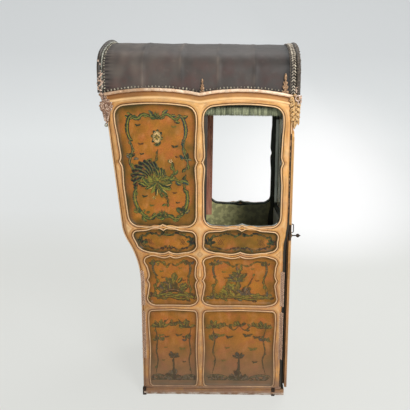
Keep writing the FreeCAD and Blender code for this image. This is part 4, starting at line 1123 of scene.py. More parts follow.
class SEDAN_OT_cornices(bpy.types.Operator):
    """Runs the serpentine side cornices with their chipped top bead."""
    bl_idname = "sedan.cornices"
    bl_label = "Cornices"

    def execute(self, context):
        start, end = CORNICE_ENDS
        path = [(x, cornice_z(x)) for x in steps(start, end, 260)]
        # distance below the cornice line, projection from the side face
        shelf = ((0.5, -1), (0.5, 5.5), (-3.5, 8.0), (-9.0, 8.0), (-12, 5.5), (-15, 3.6), (-20, 2.4),
                 (-26, 2.2), (-30, 3.6), (-33, 6.4), (-36, 8.2), (-40, 8.6), (-44, 7.0), (-46.5, 4.4),
                 (-48.5, 3.2), (-52, 4.6), (-56, 3.4))
        # darker and paler tones of each point: painted shade with dirt under the bead and in the lower
        # groove, painted highlight with rubbing on the round
        dirt_and_shade = ((1, 0), (0.6, 0), (0.5, 0), (0.6, 0), (0.95, 0), (0.85, 0), (0.65, 0), (0.6, 0), (0.5, 0),
                (0.2, 0.2), (0, 0.7), (0, 1), (0, 0.8), (0.2, 0.2), (0.9, 0), (0.3, 0.2), (0.1, 0))
        bead = ((0.6, 1.0), (1.4, 5.0), (1.2, 9.0), (-0.5, 11.8), (-3.5, 13.0), (-7.5, 12.8), (-10.5, 11.5),
                (-12.4, 8.6), (-12.4, 5.2), (-10.6, 2.4), (-7.0, 1.0))
        for word, side in SIDES:
            place = on_side(side)
            form = Form()
            sweep(form, path, shelf, place, False, dirt_and_shade)
            form.piece(f"cornice_moulding_{word}", "gilt_moulding", "cabin", "gilt_wood")
            edge = Form()
            sweep(edge, path, bead, place, False)
            for i, (x, y, z) in enumerate(edge.points):
                ragged = 1.3 * noise.noise(Vector((x / 7, z / 7, side)))
                ragged += 1.6 * noise.noise(Vector((x / 22, 3, side)))
                chip = 3.5 * min(max(noise.noise(Vector((x / 30, 9, side))) - 0.25, 0) * 6, 1)
                edge.points[i] = (x + ragged * 0.5, y + side * (ragged - chip), z - ragged * 0.8)
            edge.piece(f"cornice_bead_{word}", "gesso", "cabin", "gilt_wood")
        return {"FINISHED"}


class SEDAN_OT_back_mouldings(bpy.types.Operator):
    """Carves the frames of the back and of the door."""
    bl_idname = "sedan.back_mouldings"
    bl_label = "Back and door mouldings"

    def execute(self, context):
        low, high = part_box("door_stiles")[0][2] / MM, 1262
        # their mouldings stand less proud than those of the sides
        for name, place, openings, half, levels, body, scale in (
                ("back", on_back, back_openings(), SIDE_FACE, post_heights(), "cabin", 0.45),
                ("door", on_door, door_openings(), DOOR_EDGE_HALF, steps(low, high, 140), "door", 0.5)):
            flat = lambda u, v, h, p=place, k=scale: p(u, v, h * k if h > 0 else h)
            beads = Form()
            for opening in openings:
                sweep(beads, opening.carved(), OPENING_MOULD, flat, tones=OPENING_TONES)
            edges = [[(-half, z) for z in reversed(levels)], [(half, z) for z in levels]]
            for edge in edges:
                sweep(beads, edge, EDGE_MOULD, flat, False, EDGE_TONES)
            beads.piece(f"{name}_mouldings", "gilt_bead", body, "gilt_wood")
            skin = Form()
            swollen(skin, flat, openings, edges, levels[0] + 2, levels[-1], lambda z, h=half: 3 - h,
                    lambda z, h=half: h - 3, 6.0)
            mesh = trimmed(skin.mesh("swelling"))
            if (mesh.polygons[0].normal.x > 0) != (name == "door"):
                mesh.flip_normals()
            place_piece(f"{name}_swelling", mesh, "gilt_moulding", body)
        return {"FINISHED"}


# ---------------------------------------------------------------- painted panels

INK = linear("#1E201A")
DARK = linear("#2C3620")
BLUE = linear("#32423A")
GREEN = linear("#42502A")
OLIVE = linear("#5E5A26")
LEAF = linear("#78742C")
GOLD = linear("#B8964A")
PALE = linear("#D2AE74")
RED = linear("#9A4222")
BROWN = linear("#5E3C1C")
GREY = linear("#5C5848")
GREENS = (DARK, GREEN, OLIVE, GREEN, BLUE, DARK)


def smooth_line(points, per=7):
    """A smooth line through a few points."""
    guide = [points[0]] + list(points) + [points[-1]]
    line = []
    for i in range(1, len(guide) - 2):
        a, b, c, d = (Vector(guide[i + k]) for k in (-1, 0, 1, 2))
        for j in range(per):
            t = j / per
            line.append(0.5 * ((2 * b) + (c - a) * t + (2 * a - 5 * b + 4 * c - d) * t * t
                               + (3 * b - a - 3 * c + d) * t ** 3))
    line.append(Vector(points[-1]))
    return line


class Brush:
    """Paints a panel from shares of its width and height, in layers just above its surface."""

    def __init__(self, form, place, opening, seed):
        self.form, self.place, self.opening, self.chance = form, place, opening, random.Random(seed)
        self.sawn, self.carved = Rim([opening.sawn()]), Rim([opening.carved()])
        self.mirrored, self.layer = False, 0

    def height(self, u, v):
        """The panel's face inside the sawn opening, rising to the frame's face outside it."""
        share = min(max((self.sawn.outside(u, v) + 9) / 8, 0), 1)
        return 0.15 - PANEL_RECESS + (PANEL_RECESS + 0.35) * share * share * (3 - 2 * share)

    def spot(self, s, t):
        return self.opening.spot(1 - s if self.mirrored else s, t)

    def ground(self, olive, depth):
        """The varnished ground: clear orange in the middle, olive, and nearly black with painted shade at the
        rim.
        """
        rows, tones = [], []
        # points lie closer together towards the rim, and the last ones run under the moulding
        shares = [(1 - math.cos(angle)) / 2 * 1.02 - 0.01 for angle in steps(0, math.pi, 38)]
        for t in shares:
            row = []
            for s in shares:
                u, v = self.opening.spot(s, t)
                row.append(self.place(u, v, self.height(u, v)))
                deep = max(-self.carved.outside(u, v), 0)
                cloud = noise.noise(Vector((u / 70, v / 70, olive)))
                cloud += 0.5 * noise.noise(Vector((u / 24, v / 24, 9)))
                # painted shade, deepest next to the moulding and fading inwards
                rim = depth * (math.exp(-deep / 13) * 0.85 + math.exp(-deep / 48) * 0.35)
                tones.append((min(max(rim + 0.30 * cloud, 0), 1), min(max(olive + 0.7 * cloud, 0), 1), t))
            rows.append(row)
        glaze = Form()
        glaze.grid(rows)
        glaze.tones = tones
        return glaze

    def lay(self, points, faces, tone):
        self.layer += 1
        rise = 0.25 + 0.003 * self.layer
        self.form.add([self.place(q[0], q[1], self.height(q[0], q[1]) + rise) for q in points], faces, tone)

    def strip(self, line, halves, aside, tone):
        """A strip of paint along a line, from its half widths, moved aside by a distance."""
        last, points = len(line) - 1, []
        for i, (q, half) in enumerate(zip(line, halves)):
            run = (line[min(i + 1, last)] - line[max(i - 1, 0)]).normalized()
            across = Vector((-run.y, run.x))
            middle = q + across * aside
            points += [middle + across * half, middle - across * half]
        self.lay(points, [(2 * i, 2 * i + 1, 2 * i + 3, 2 * i + 2) for i in range(last)], tone)

    def ribbon(self, line, width, tone, taper=0.3, shift=0.0):
        """A band along a line, fullest at its middle; the shift moves it sideways by a share of its width."""
        halves = []
        for share in steps(0, 1, len(line) - 1):
            half = width / 2 * (taper + (1 - taper) * math.sin(math.pi * min(max(share, 0.03), 0.97)))
            halves.append(half * (0.85 + 0.3 * self.chance.random()))
        self.strip(line, halves, shift * width, tone)

    def band(self, line, width, tone, shine, tapers=(0.35, 0.28, 0.1)):
        """A scroll's band: a dark outline, the body colour and a lit edge."""
        self.ribbon(line, width + 3.5, INK, tapers[0])
        self.ribbon(line, width, tone, tapers[1])
        if shine:
            self.ribbon(line, width * 0.34, shine, tapers[2], 0.2)

    def leaf(self, base, angle, long, wide, bend, tone, shine=LEAF):
        """A curved acanthus leaf with a cut edge."""
        spine, shares, heading, spot = [], [], angle, Vector(base)
        for i, t in enumerate(steps(0, 1, 8)):
            spine.append(spot.copy())
            shares.append(max(math.sin(math.pi * (0.1 + 0.9 * t)) ** 0.7, 0.05) * (0.78 + 0.22 * (i % 2)))
            heading += bend * (0.4 + 1.2 * t) / 8
            spot += Vector((math.cos(heading), math.sin(heading))) * long / 8
        for width, colour, shift in ((wide + 3.4, INK, 0), (wide, tone, 0), (0.34 * wide, shine, 0.16)):
            if colour:
                self.strip(spine, [width / 2 * share for share in shares], shift * wide, colour)

    def aim(self, angle):
        """Degrees to radians, turned over on the mirrored side."""
        return math.radians(180 - angle if self.mirrored else angle)

    def sides(self):
        """Does what follows on the left side and then, mirrored, on the right."""
        for self.mirrored in (False, True):
            yield self.mirrored
        self.mirrored = False

    def vine(self, spots, width, tone, leaves=6, size=26, shine=LEAF):
        """A scroll through spots with leaves curling off both sides."""
        line = smooth_line([self.spot(*q) for q in spots])
        for number in range(leaves):
            share = (number + 0.3 + 0.4 * self.chance.random()) / leaves
            i = min(int(share * (len(line) - 1)), len(line) - 2)
            run = line[i + 1] - line[i]
            way = 1 if number % 2 else -1
            reach = size * self.chance.uniform(0.85, 1.5)
            angle = math.atan2(run.y, run.x) + way * math.radians(self.chance.uniform(20, 60))
            self.leaf(line[i], angle, reach, reach * 0.46, -way * self.chance.uniform(0.8, 1.8),
                      self.chance.choice(GREENS), shine)
        self.band(line, width * 1.25, tone, shine)

    def winding(self, start, end, bow, wind, width, tone, shine=LEAF):
        """A C scroll that rolls up at both ends; start and end lie on its long arc."""
        heading, spot, line = 0.0, Vector((0, 0)), []
        width, count = width * 1.45, 56
        for u in steps(-1, 1, count):
            line.append(spot.copy())
            heading += bow * (0.35 + wind * u ** 4) * 2 / count
            step = 2 / count * (1 - 0.72 * abs(u) ** 3)
            spot += Vector((math.cos(heading), math.sin(heading))) * step
        first, last = line[count // 5], line[count - count // 5]
        a, b = self.spot(*start), self.spot(*end)
        if self.mirrored:
            line = [Vector((q.x, -q.y)) for q in line]
            first, last = Vector((first.x, -first.y)), Vector((last.x, -last.y))
        span, want = last - first, b - a
        scale = want.length / span.length
        turn = math.atan2(want.y, want.x) - math.atan2(span.y, span.x)
        c, d = math.cos(turn) * scale, math.sin(turn) * scale
        line = [a + Vector(((q - first).x * c - (q - first).y * d, (q - first).x * d + (q - first).y * c))
                for q in line]
        self.band(line, width, tone, shine, (0.55, 0.5, 0.3))

    def clump(self, s, t, wide, tall, count, tones, long=20, shine=LEAF):
        """A heap of leaves that spread from its foot, over a dark mound."""
        foot = self.spot(s, t)
        if count > 11:
            spread = steps(-1, 1, 12)
            low = [foot + Vector((k * wide * 0.48, -2)) for k in spread]
            high = [foot + Vector((k * wide * 0.46, tall * (1 - 0.75 * abs(k)) * self.chance.uniform(0.8, 1)))
                    for k in spread]
            self.lay(low + high, [(i, i + 1, 14 + i, 13 + i) for i in range(12)], tones[1])
        for number in range(count):
            k = self.chance.uniform(-1, 1)
            rise = self.chance.random() ** 1.3 * (1 - 0.7 * abs(k))
            spot = foot + Vector((k * wide / 2, rise * tall))
            angle = math.radians(90 - 70 * k + self.chance.uniform(-25, 25))
            reach = long * self.chance.uniform(0.8, 1.4)
            self.leaf(spot, angle, reach, reach * 0.5, self.chance.uniform(-1.2, 1.2),
                      self.chance.choice(tones), shine if number % 3 == 0 else None)

    def fan(self, s, t, angle, spread, long, count, tones, bend=50, shine=LEAF):
        """A shell of long curved feathers from one spot."""
        way = -1 if self.mirrored else 1
        for number in range(count):
            share = number / max(count - 1, 1)
            reach = long * (0.66 + 0.34 * math.sin(math.pi * (0.15 + 0.7 * share)))
            self.leaf(self.spot(s, t), self.aim(angle + spread * (share - 0.5)), reach, reach * 0.32,
                      math.radians(bend) * way * (share - 0.35) * 2, tones[number % len(tones)],
                      shine if number % 2 else None)

    def shell(self, s, t, angle, spread, long, ribs, tone, shine):
        """A filled scallop shell with lit ribs."""
        spot, way, lines = self.spot(s, t), -1 if self.mirrored else 1, []
        for share in steps(0, 1, ribs * 6):
            reach = long * (0.7 + 0.3 * math.sin(math.pi * (0.1 + 0.8 * share)))
            reach *= 0.88 + 0.12 * abs(math.sin(math.pi * ribs * share))
            lean = self.aim(angle + spread * (share - 0.5))
            line = []
            for q in steps(0, 1, 7):
                bent = lean + way * 0.5 * q * q
                line.append(spot + Vector((math.cos(bent), math.sin(bent))) * reach * q)
            lines.append(line)
        corners = [8 * i + k for i in range(ribs * 6) for k in range(7)]
        self.lay([q for line in lines for q in line], [(i, i + 1, i + 9, i + 8) for i in corners], tone)
        for number in range(ribs):
            self.ribbon(lines[number * 6 + 3][2:], long * 0.055, shine, 0.3)
            self.ribbon(lines[number * 6 + 1][3:], long * 0.03, BLUE, 0.3)

    def bud(self, s, t, size, tone, heart):
        """A small open flower."""
        spot, lean = self.spot(s, t), self.chance.random() * math.tau
        for turn in angles(5):
            self.leaf(spot, lean + turn, size, size * 0.6, 0.5, tone, None)
        self.leaf(spot - Vector((size * 0.2, 0)), 0, size * 0.4, size * 0.4, 0, heart, None)

    def specks(self, places, tones, scale=1):
        """Faint loose dabs, as of moths or rubbed leaves, from their places and sizes."""
        for s, t, size in places:
            spot = self.spot(s, t)
            for angle, long in ((0.5, 1), (2.6, 1), (1.4, 0.5), (3.3, 0.6)):
                way = Vector((math.cos(angle), math.sin(angle))) * size * scale * long
                self.ribbon([spot, spot + way * 0.5, spot + way], size * scale * 0.5 * long,
                            tones[size % len(tones)], 0.15)

    def boss(self, s, t, wide, tall):
        """A plain oval boss in a leafy frame."""
        spot = self.spot(s, t)
        ring = [spot + Vector((wide * math.cos(a), tall * math.sin(a))) for a in angles(32)]
        for i, a in enumerate(angles(16)):
            self.leaf(ring[2 * i], a + (0.5 if i % 2 else -0.3), wide * 0.75, wide * 0.36,
                      1.2 if i % 2 else -0.8, (GREEN, GREY, DARK, OLIVE)[i % 4], GOLD if i % 2 else None)
        for i in range(5):
            self.leaf(spot - Vector((0, tall)), math.radians(-130 + 20 * i), wide * 1.1, wide * 0.34,
                      0.5 * (i - 2), (DARK, GREEN)[i % 2], LEAF)
        self.lay(ring, [tuple(range(32))], PALE)
        for i, a in enumerate(angles(8)):
            self.leaf(spot, a, tall * 0.6, wide * 0.3, 0.3, (OLIVE, GOLD)[i % 2], None)
        for width, tone in ((0.34, INK), (0.22, OLIVE), (0.10, PALE)):
            self.ribbon(ring + ring[:1], wide * width, tone, 1.0)


def paint_upper(brush):
    """Scroll frame, an oval boss, and a feathered shell over a crossing scroll."""
    for mirrored in brush.sides():
        brush.vine(((0.47, 0.88), (0.36, 0.92), (0.26, 0.885), (0.17, 0.92)), 8, GREEN, 7, 27)
        brush.winding((0.17, 0.90), (0.14, 0.74), 1.9, 3.4, 10, BLUE if mirrored else DARK)
        brush.vine(((0.13, 0.74), (0.16, 0.64), (0.12, 0.54), (0.15, 0.46)), 6, BLUE, 5, 24)
        brush.clump(0.14, 0.56, 22, 26, 6, (BLUE, DARK, GREY), 18)
        brush.vine(((0.13, 0.44), (0.17, 0.36), (0.13, 0.28)), 6.5, DARK, 4, 24)
        brush.winding((0.13, 0.28), (0.22, 0.10), 2.1, 3.2, 11, GREEN)
        brush.clump(0.20, 0.11, 40, 14, 8, GREENS, 22)
        brush.vine(((0.20, 0.095), (0.30, 0.065), (0.40, 0.09), (0.49, 0.07)), 9, GREEN, 6, 25)
    brush.fan(0.5, 0.88, 90, 150, 30, 7, (GREEN, DARK, OLIVE), 40)
    brush.fan(0.5, 0.06, 90, 170, 34, 9, (GREEN, DARK, OLIVE), 40)
    brush.boss(0.50, 0.73, 17, 25)
    # the shell and its bank, left of the middle
    brush.vine(((0.50, 0.63), (0.47, 0.56), (0.43, 0.50)), 3.5, BROWN, 3, 14)
    brush.winding((0.22, 0.42), (0.36, 0.55), -2.0, 2.6, 5, OLIVE)
    brush.shell(0.40, 0.375, 108, 120, 112, 9, INK, OLIVE)
    brush.shell(0.46, 0.375, 40, 70, 66, 5, DARK, LEAF)
    brush.vine(((0.19, 0.365), (0.32, 0.395), (0.48, 0.375), (0.64, 0.405), (0.82, 0.37)), 11, OLIVE, 12, 32)
    brush.winding((0.34, 0.33), (0.60, 0.33), -1.6, 2.8, 11, DARK)
    brush.clump(0.47, 0.335, 110, 30, 22, (GREEN, OLIVE, DARK, LEAF), 30)
    brush.fan(0.49, 0.365, 270, 120, 70, 9, (OLIVE, GREEN, LEAF, DARK), 70, GOLD)
    brush.vine(((0.62, 0.385), (0.71, 0.46), (0.66, 0.54)), 4.5, GREEN, 6, 24)
    brush.vine(((0.50, 0.27), (0.60, 0.22), (0.56, 0.17)), 4, BROWN, 5, 20)
    brush.bud(0.66, 0.545, 10, PALE, RED)
    brush.bud(0.40, 0.24, 9, GOLD, RED)
    brush.specks(((0.27, 0.83, 15), (0.72, 0.82, 14), (0.28, 0.68, 16), (0.73, 0.66, 18), (0.76, 0.58, 13),
                  (0.28, 0.60, 12), (0.27, 0.25, 15), (0.70, 0.28, 13), (0.36, 0.17, 14), (0.74, 0.20, 12)),
                 (DARK, BROWN, OLIVE))


def paint_belt(brush):
    """A long cartouche of thin scrolls with shells and trellis at the ends."""
    for _ in brush.sides():
        brush.vine(((0.49, 0.80), (0.41, 0.70), (0.30, 0.84), (0.18, 0.76), (0.10, 0.70)),
                   3.4, DARK, 8, 12, OLIVE)
        brush.vine(((0.49, 0.16), (0.41, 0.22), (0.30, 0.14), (0.18, 0.22), (0.12, 0.26)),
                   3.0, BROWN, 6, 11, OLIVE)
        brush.winding((0.10, 0.70), (0.10, 0.28), 2.0, 3.0, 5, DARK, OLIVE)
        brush.clump(0.075, 0.34, 26, 34, 12, (INK, DARK, GREEN), 14, None)
        for step in range(3):
            x = 0.165 + 0.026 * step
            for a, b in ((0.34, 0.62), (0.62, 0.34)):
                line = [brush.spot(x, a), brush.spot(x + 0.03, (a + b) / 2), brush.spot(x + 0.06, b)]
                brush.ribbon(line, 2.0, BROWN, 1)
    brush.clump(0.5, 0.74, 34, 12, 8, (DARK, GREEN), 13)
    brush.clump(0.5, 0.10, 40, 8, 8, (BROWN, DARK, OLIVE), 12)


def paint_middle(brush, bush):
    """A scroll frame over a green bank with a heaped bush, or with a slender flowering tree."""
    for _ in brush.sides():
        brush.vine(((0.49, 0.86), (0.40, 0.83), (0.28, 0.90), (0.16, 0.86)), 3.6, DARK, 5, 15)
        brush.winding((0.15, 0.85), (0.13, 0.62), 2.0, 3.2, 5.5, BLUE, GREEN)
        brush.clump(0.14, 0.80, 34, 18, 9, (DARK, GREEN, BLUE), 18, OLIVE)
        brush.vine(((0.12, 0.62), (0.17, 0.48), (0.12, 0.34), (0.14, 0.20)), 5, DARK, 5, 17)
        brush.winding((0.10, 0.17), (0.30, 0.13), -1.9, 3.0, 8, GREEN)
        brush.clump(0.13, 0.12, 40, 18, 9, GREENS, 22)
    brush.vine(((0.16, 0.17), (0.34, 0.22), (0.52, 0.17), (0.68, 0.21), (0.86, 0.15)), 13, GREEN, 12, 26)
    brush.vine(((0.24, 0.13), (0.44, 0.17), (0.64, 0.12), (0.80, 0.14)), 9, DARK, 6, 22)
    if bush:
        brush.clump(0.5, 0.26, 96, 74, 54, (GREEN, DARK, BLUE, OLIVE, GREEN), 27)
        brush.vine(((0.26, 0.24), (0.5, 0.31), (0.74, 0.24)), 9, INK, 0, 10, GREY)
        brush.bud(0.42, 0.50, 9, OLIVE, PALE)
    else:
        brush.vine(((0.44, 0.20), (0.49, 0.38), (0.46, 0.56), (0.50, 0.72)), 7, GREEN, 9, 25)
        brush.clump(0.47, 0.50, 52, 56, 26, (GREEN, BLUE, DARK, GREEN), 22)
        brush.clump(0.44, 0.20, 120, 50, 44, (GREEN, OLIVE, LEAF, DARK), 26)
        brush.vine(((0.53, 0.22), (0.62, 0.42), (0.72, 0.66)), 2.2, BROWN, 4, 13)
        brush.clump(0.56, 0.22, 40, 34, 14, (INK, BLUE, GREY), 20, GREY)
        brush.vine(((0.36, 0.24), (0.30, 0.40), (0.36, 0.52)), 3, OLIVE, 5, 16)
    brush.specks(((0.27, 0.68, 13), (0.74, 0.50, 12), (0.68, 0.76, 11), (0.30, 0.56, 12)), (BROWN, OLIVE))


def paint_lower(brush, wide):
    """Thin stems hung with leafy clumps, specks, and a pedestal on a grey bank."""
    for _ in brush.sides():
        if wide:
            brush.vine(((0.50, 0.80), (0.42, 0.74), (0.32, 0.80), (0.20, 0.77), (0.13, 0.80)),
                       2.6, DARK, 2, 14, OLIVE)
            brush.clump(0.30, 0.79, 46, 9, 9, (GREEN, OLIVE), 16)
        else:
            brush.vine(((0.40, 0.88), (0.30, 0.83), (0.20, 0.85)), 2.6, DARK, 2, 14, OLIVE)
        brush.clump(0.15 if wide else 0.22, 0.77, 44, 24, 16, (GREEN, DARK, GREEN, OLIVE), 22)
        brush.clump(0.13 if wide else 0.18, 0.60, 26, 26, 10, (DARK, BLUE, GREEN), 18)
        brush.vine(((0.12, 0.78), (0.15, 0.62), (0.12, 0.46), (0.16, 0.34), (0.12, 0.16)),
                   3.0, DARK, 3, 12, OLIVE)
        brush.winding((0.09, 0.13), (0.34, 0.10), -1.5, 2.6, 7, GREY, OLIVE)
        brush.clump(0.20, 0.07, 70, 12, 14, (GREY, DARK, GREY), 20, GREY)
    brush.clump(0.5, 0.79, 28, 24, 12, (GREEN, DARK, OLIVE), 17)
    brush.clump(0.5, 0.07, 62 if wide else 40, 54, 30, (GREY, DARK, GREY, INK), 22, GREY)
    brush.vine(((0.5, 0.12), (0.5, 0.24), (0.5, 0.38)), 5 if wide else 4, DARK, 2, 14, None)
    brush.fan(0.5, 0.37, 90, 150, 24, 7, (DARK, INK, GREY), 40, None)
    brush.clump(0.5, 0.38, 32, 18, 10, (DARK, BLUE), 15, None)
    brush.specks(((0.24, 0.66, 26), (0.36, 0.64, 22), (0.62, 0.66, 28), (0.75, 0.64, 22), (0.33, 0.50, 14),
                  (0.70, 0.48, 26), (0.28, 0.33, 14), (0.73, 0.31, 16)),
                 (BROWN, DARK, OLIVE), 1 if wide else 0.7)


class SEDAN_OT_paintings(bpy.types.Operator):
    """Glazes every panel and paints scrolls, feathers and foliage on it."""
    bl_idname = "sedan.paintings"
    bl_label = "Paintings"

    def execute(self, context):
        walls = [(word, on_side(side), side_openings(), "cabin", Vector((0, side, 0)))
                 for word, side in SIDES]
        walls += [("back", on_back, back_openings(), "cabin", Vector((-1, 0, 0))),
                  ("door", on_door, door_openings(), "door", Vector((1, 0, 0)))]
        # how olive the ground is, and how deep the painted shade at its rim
        grounds = {"upper": (0.4, 1.0), "belt": (0.55, 1.1), "middle": (0.15, 0.65), "tall": (0.3, 0.9),
                   "lower": (0.1, 0.6)}
        for word, place, openings, body, outwards in walls:
            form, glazes = Form(), Form()
            for number, opening in enumerate(openings):
                # the door's light and the window of each side have no panel
                if opening.name == "upper" and (word == "door" or number == FRONT_WINDOW):
                    continue
                brush = Brush(form, place, opening, 11 * number + opening.foot)
                glazes.append(brush.ground(*grounds[opening.name]))
                if opening.name == "middle":
                    paint_middle(brush, number < FRONT_WINDOW)
                elif opening.name == "lower":
                    paint_lower(brush, number > FRONT_WINDOW or word == "back")
                else:
                    {"upper": paint_upper, "tall": paint_upper, "belt": paint_belt}[opening.name](brush)
            for made, name, look in ((glazes, "panel_glaze", "lacquer"), (form, "panel_painting", "paint")):
                mesh = made.mesh(name, recalculate=False)
                work = bmesh.new()
                work.from_mesh(mesh)
                bmesh.ops.reverse_faces(work, faces=[f for f in work.faces if f.normal.dot(outwards) < 0])
                work.to_mesh(mesh)
                work.free()
                place_piece(f"{name}_{word}", mesh, look, body)
        return {"FINISHED"}


# ---------------------------------------------------------------- roof

# places of the bows under the leather, and the number of pleats round its rear edge
BOWS = (-254, -86, 80, 240)
PLEATS = 92


def vault_points(count, proud=0.0, low=1450.0):
    """Across the roof from the right foot over the crown to the left foot: y, z and outward y, z."""
    arch = []
    for angle in steps(math.pi, 0, count):
        way = Vector((0, math.cos(angle), math.sin(angle)))
        hit = ray(VAULT_TREE, Vector((0, 0, VAULT_SPRING)) + way * 700, -way)
        arch.append(Vector((hit.y, hit.z)))
    arch = [Vector((arch[0].x, low))] + arch + [Vector((arch[-1].x, low))]
    points = []
    for i, spot in enumerate(arch):
        run = (arch[min(i + 1, len(arch) - 1)] - arch[max(i - 1, 0)]).normalized()
        out = Vector((-run.y, run.x))
        points.append((spot + out * proud, out))
    return points


class SEDAN_OT_roof_leather(bpy.types.Operator):
    """Stretches the leather over the roof's bows, puckered at the nails."""
    bl_idname = "sedan.roof_leather"
    bl_label = "Roof leather"

    def execute(self, context):
        across, pitch = vault_points(150), settings().nail_pitch
        form = Form()
        rows, tones = [], []
        for x in steps(ROOF_REAR - 4, ROOF_FRONT - 0.5, 150):
            # each bow shows as a low ridge, with painted highlight behind it and painted shade before it
            ridge = sum(math.exp(-((x - bow) / 9) ** 2) for bow in BOWS)
            slope = sum(math.exp(-(bow - x) / 60) for bow in BOWS if x < bow)
            after = sum(math.exp(-(x - bow) / 34) for bow in BOWS if x > bow)
            behind, ahead = x - ROOF_REAR, max(x / 420, 0)
            row = []
            for j, (spot, out) in enumerate(across):
                girth = j / (len(across) - 1)
                drop = min(j, len(across) - 1 - j) * 6.0
                pleat = math.sin(math.tau * girth * PLEATS + noise.noise(Vector((girth * 40, 1, 0))))
                lift = 1.6 + 1.9 * ridge + 0.9 * slope * math.sin(math.pi * girth)
                lift += 1.3 * math.exp(-max(behind - 8, 0) / 20) * pleat
                lift += 0.9 * math.exp(-drop / 14) * math.sin(math.tau * x / pitch)
                lift += 2.0 * noise.noise(Vector((x / 95, spot.x / 90, spot.y / 90)))
                lift += 0.8 * noise.noise(Vector((x / 26, spot.x / 26, spot.y / 30)))
                q = spot + out * max(lift, 0.35)
                row.append((x, q.x, q.y))
                # paler: scuffs on the ridges with painted highlight behind each bow, and paler towards the
                # rear
                cloud = noise.noise(Vector((x / 40, spot.x / 70, spot.y / 50)))
                wear = 0.50 * ridge * max(0.3 + 1.4 * cloud, 0) + 0.16 * slope * max(0.5 + cloud, 0)
                wear += 0.34 * max(-x / 420, 0) * max(0.6 + cloud, 0)
                # nearly black at both ends, with painted shade in the rear pleats, along the eaves and behind
                # each bow, and more so towards the front
                black = 0.19 + 0.26 * after + 0.36 * ahead + 0.7 * math.exp(-drop / 7)
                black += 0.95 * math.exp(-max(behind - 26, 0) / 12) * max(0.25 + 0.75 * pleat, 0)
                black += 0.8 * math.exp(-max(ROOF_FRONT - 32 - x, 0) / 12)
                tones.append((max(min(wear, 1), 0), max(min(black, 1), 0), 0))
            rows.append(row)
        form.grid(rows)
        form.tones = tones
        skin = form.piece("roof_leather", "leather", "roof", "roof_leather", recalculate=False, sharp=70)
        middle = skin.data.polygons[len(skin.data.polygons) // 2]
        if middle.normal.z < 0:
            skin.data.flip_normals()
        thick = skin.modifiers.new("thickness", "SOLIDIFY")
        thick.thickness, thick.offset = 1.4 * MM, -1
        skin.data = evaluated(skin)
        skin.modifiers.clear()
        skin.data.shade_smooth()
        return {"FINISHED"}


def cornice_run(side, lift, proud, count=150):
    """Points that follow the side cornice on the leather above it."""
    start, end = max(CORNICE_ENDS[0], ROOF_REAR + 8), min(CORNICE_ENDS[1], ROOF_FRONT - 30)
    return [(x, side * (316 + proud), cornice_z(x) + lift) for x in steps(start, end, count)]


def over_roof(x, proud, pitch, size, look, tilt, uneven, seed):
    """Beads that follow the arch of the roof at one place along it."""
    arch = [(x, spot.x, spot.y) for spot, _ in vault_points(90, proud, 1456.0)]
    return strung([arch], pitch, size, look, (x, 0, ROOF_HEART), tilt, uneven, seed)


class SEDAN_OT_roof_trim(bpy.types.Operator):
    """Nails down the leather, and lays rolls, beads and braid along the ends of the roof."""
    bl_idname = "sedan.roof_trim"
    bl_label = "Roof trim"

    def execute(self, context):
        pitch, long = settings().nail_pitch, settings().nail_size
        nails = [strung([cornice_run(side, 8.0, 3.0)], pitch, (long * 0.85, long * 1.3, long * 0.8), "nails",
                        (0, -side * FAR, 1500), 0, 0.22, 3) for _, side in SIDES]
        nails.append(over_roof(ROOF_REAR + 10, 2.6, 12.0, (long * 0.8, long * 1.2, long * 0.7), "nails",
                               0, 0.22, 5))
        joined("roof_nails", nails, "nails", "roof")
        # front braid: two rows of strands that lean towards each other, on a dark welt
        strands = [over_roof(ROOF_FRONT + offset, 6.0, 13.0, (19, 7.0, 8.0), "bronze", tilt, 0.12, 7)
                   for offset, tilt in ((-5.5, 40), (-15.0, -40))]
        joined("front_braid", strands, "bronze", "roof")
        welts = [over_roof(ROOF_FRONT - 25, 3.6, 5.0, (6.0, 10, 9), "welt", 12, 0.08, 11),
                 over_roof(ROOF_FRONT + 11.5, 9.5, 9.0, (11.0, 19, 8.5), "welt", -24, 0.15, 13)]
        joined("front_welts", welts, "welt", "roof")
        bead = over_roof(ROOF_REAR + 1, 6.0, 8.0, (10.5, 8.5, 7), "rear_bead", 25, 0.2, 9)
        joined("rear_bead", [bead], "rear_bead", "roof")
        for name, face, crown, profile in (
                ("rear_pediment_frame", ROOF_REAR, 7.0,
                 ((-8, 0), (-8, -19), (-4, -21), (0, -18.5), (5, -20), (9, -18), (11.6, -14), (12, -10),
                  (10.5, -6), (7.5, -3.4), (3, -1.8), (1, 0))),
                ("front_pediment_frame", ROOF_FRONT, 3.0,
                 ((-16, 0), (1, 0), (8, 1.6), (11, 5.5), (12, 11), (11, 16.5), (6, 20), (0, 21.6), (-4, 19.6),
                  (-9, 21.5), (-16, 20)))):
            ring = Form()
            points = vault_points(90, 0.0, 1449)
            line = [tuple(spot + out * crown * math.sin(math.pi * i / (len(points) - 1)) ** 4)
                    for i, (spot, out) in enumerate(points)]
            sweep(ring, line, profile, lambda u, v, h, f=face: (f + h, u, v), False)
            piece = ring.piece(f"{name}_roll", "dark_wood", "roof", "dark_wood")
            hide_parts(name)
        return {"FINISHED"}


# ---------------------------------------------------------------- carving

def petal_solid(form, centre, along, out, long, wide, thick, groove=0.4):
    """A plump carved lobe, broad at its root, with a groove down its middle."""
    along, out = Vector(along).normalized(), Vector(out).normalized()
    across = along.cross(out).normalized()
    out = across.cross(along)
    rows = []
    for share in steps(0.03, 0.97, 8):
        run = -math.cos(math.pi * share)
        girth = math.sqrt(1 - run * run)
        spine = Vector(centre) + along * (long / 2 * run)
        half = wide / 2 * girth * (1 - 0.25 * run)
        row = []
        for a in angles(12):
            s, h = math.cos(a), math.sin(a)
            h *= 1 - groove * math.exp(-(s / 0.4) ** 2) if h > 0 else 0.6
            row.append(tuple(spine + across * (half * s) + out * (thick * girth * h)))
        rows.append(row)
    form.grid(rows, across=True, caps=True)


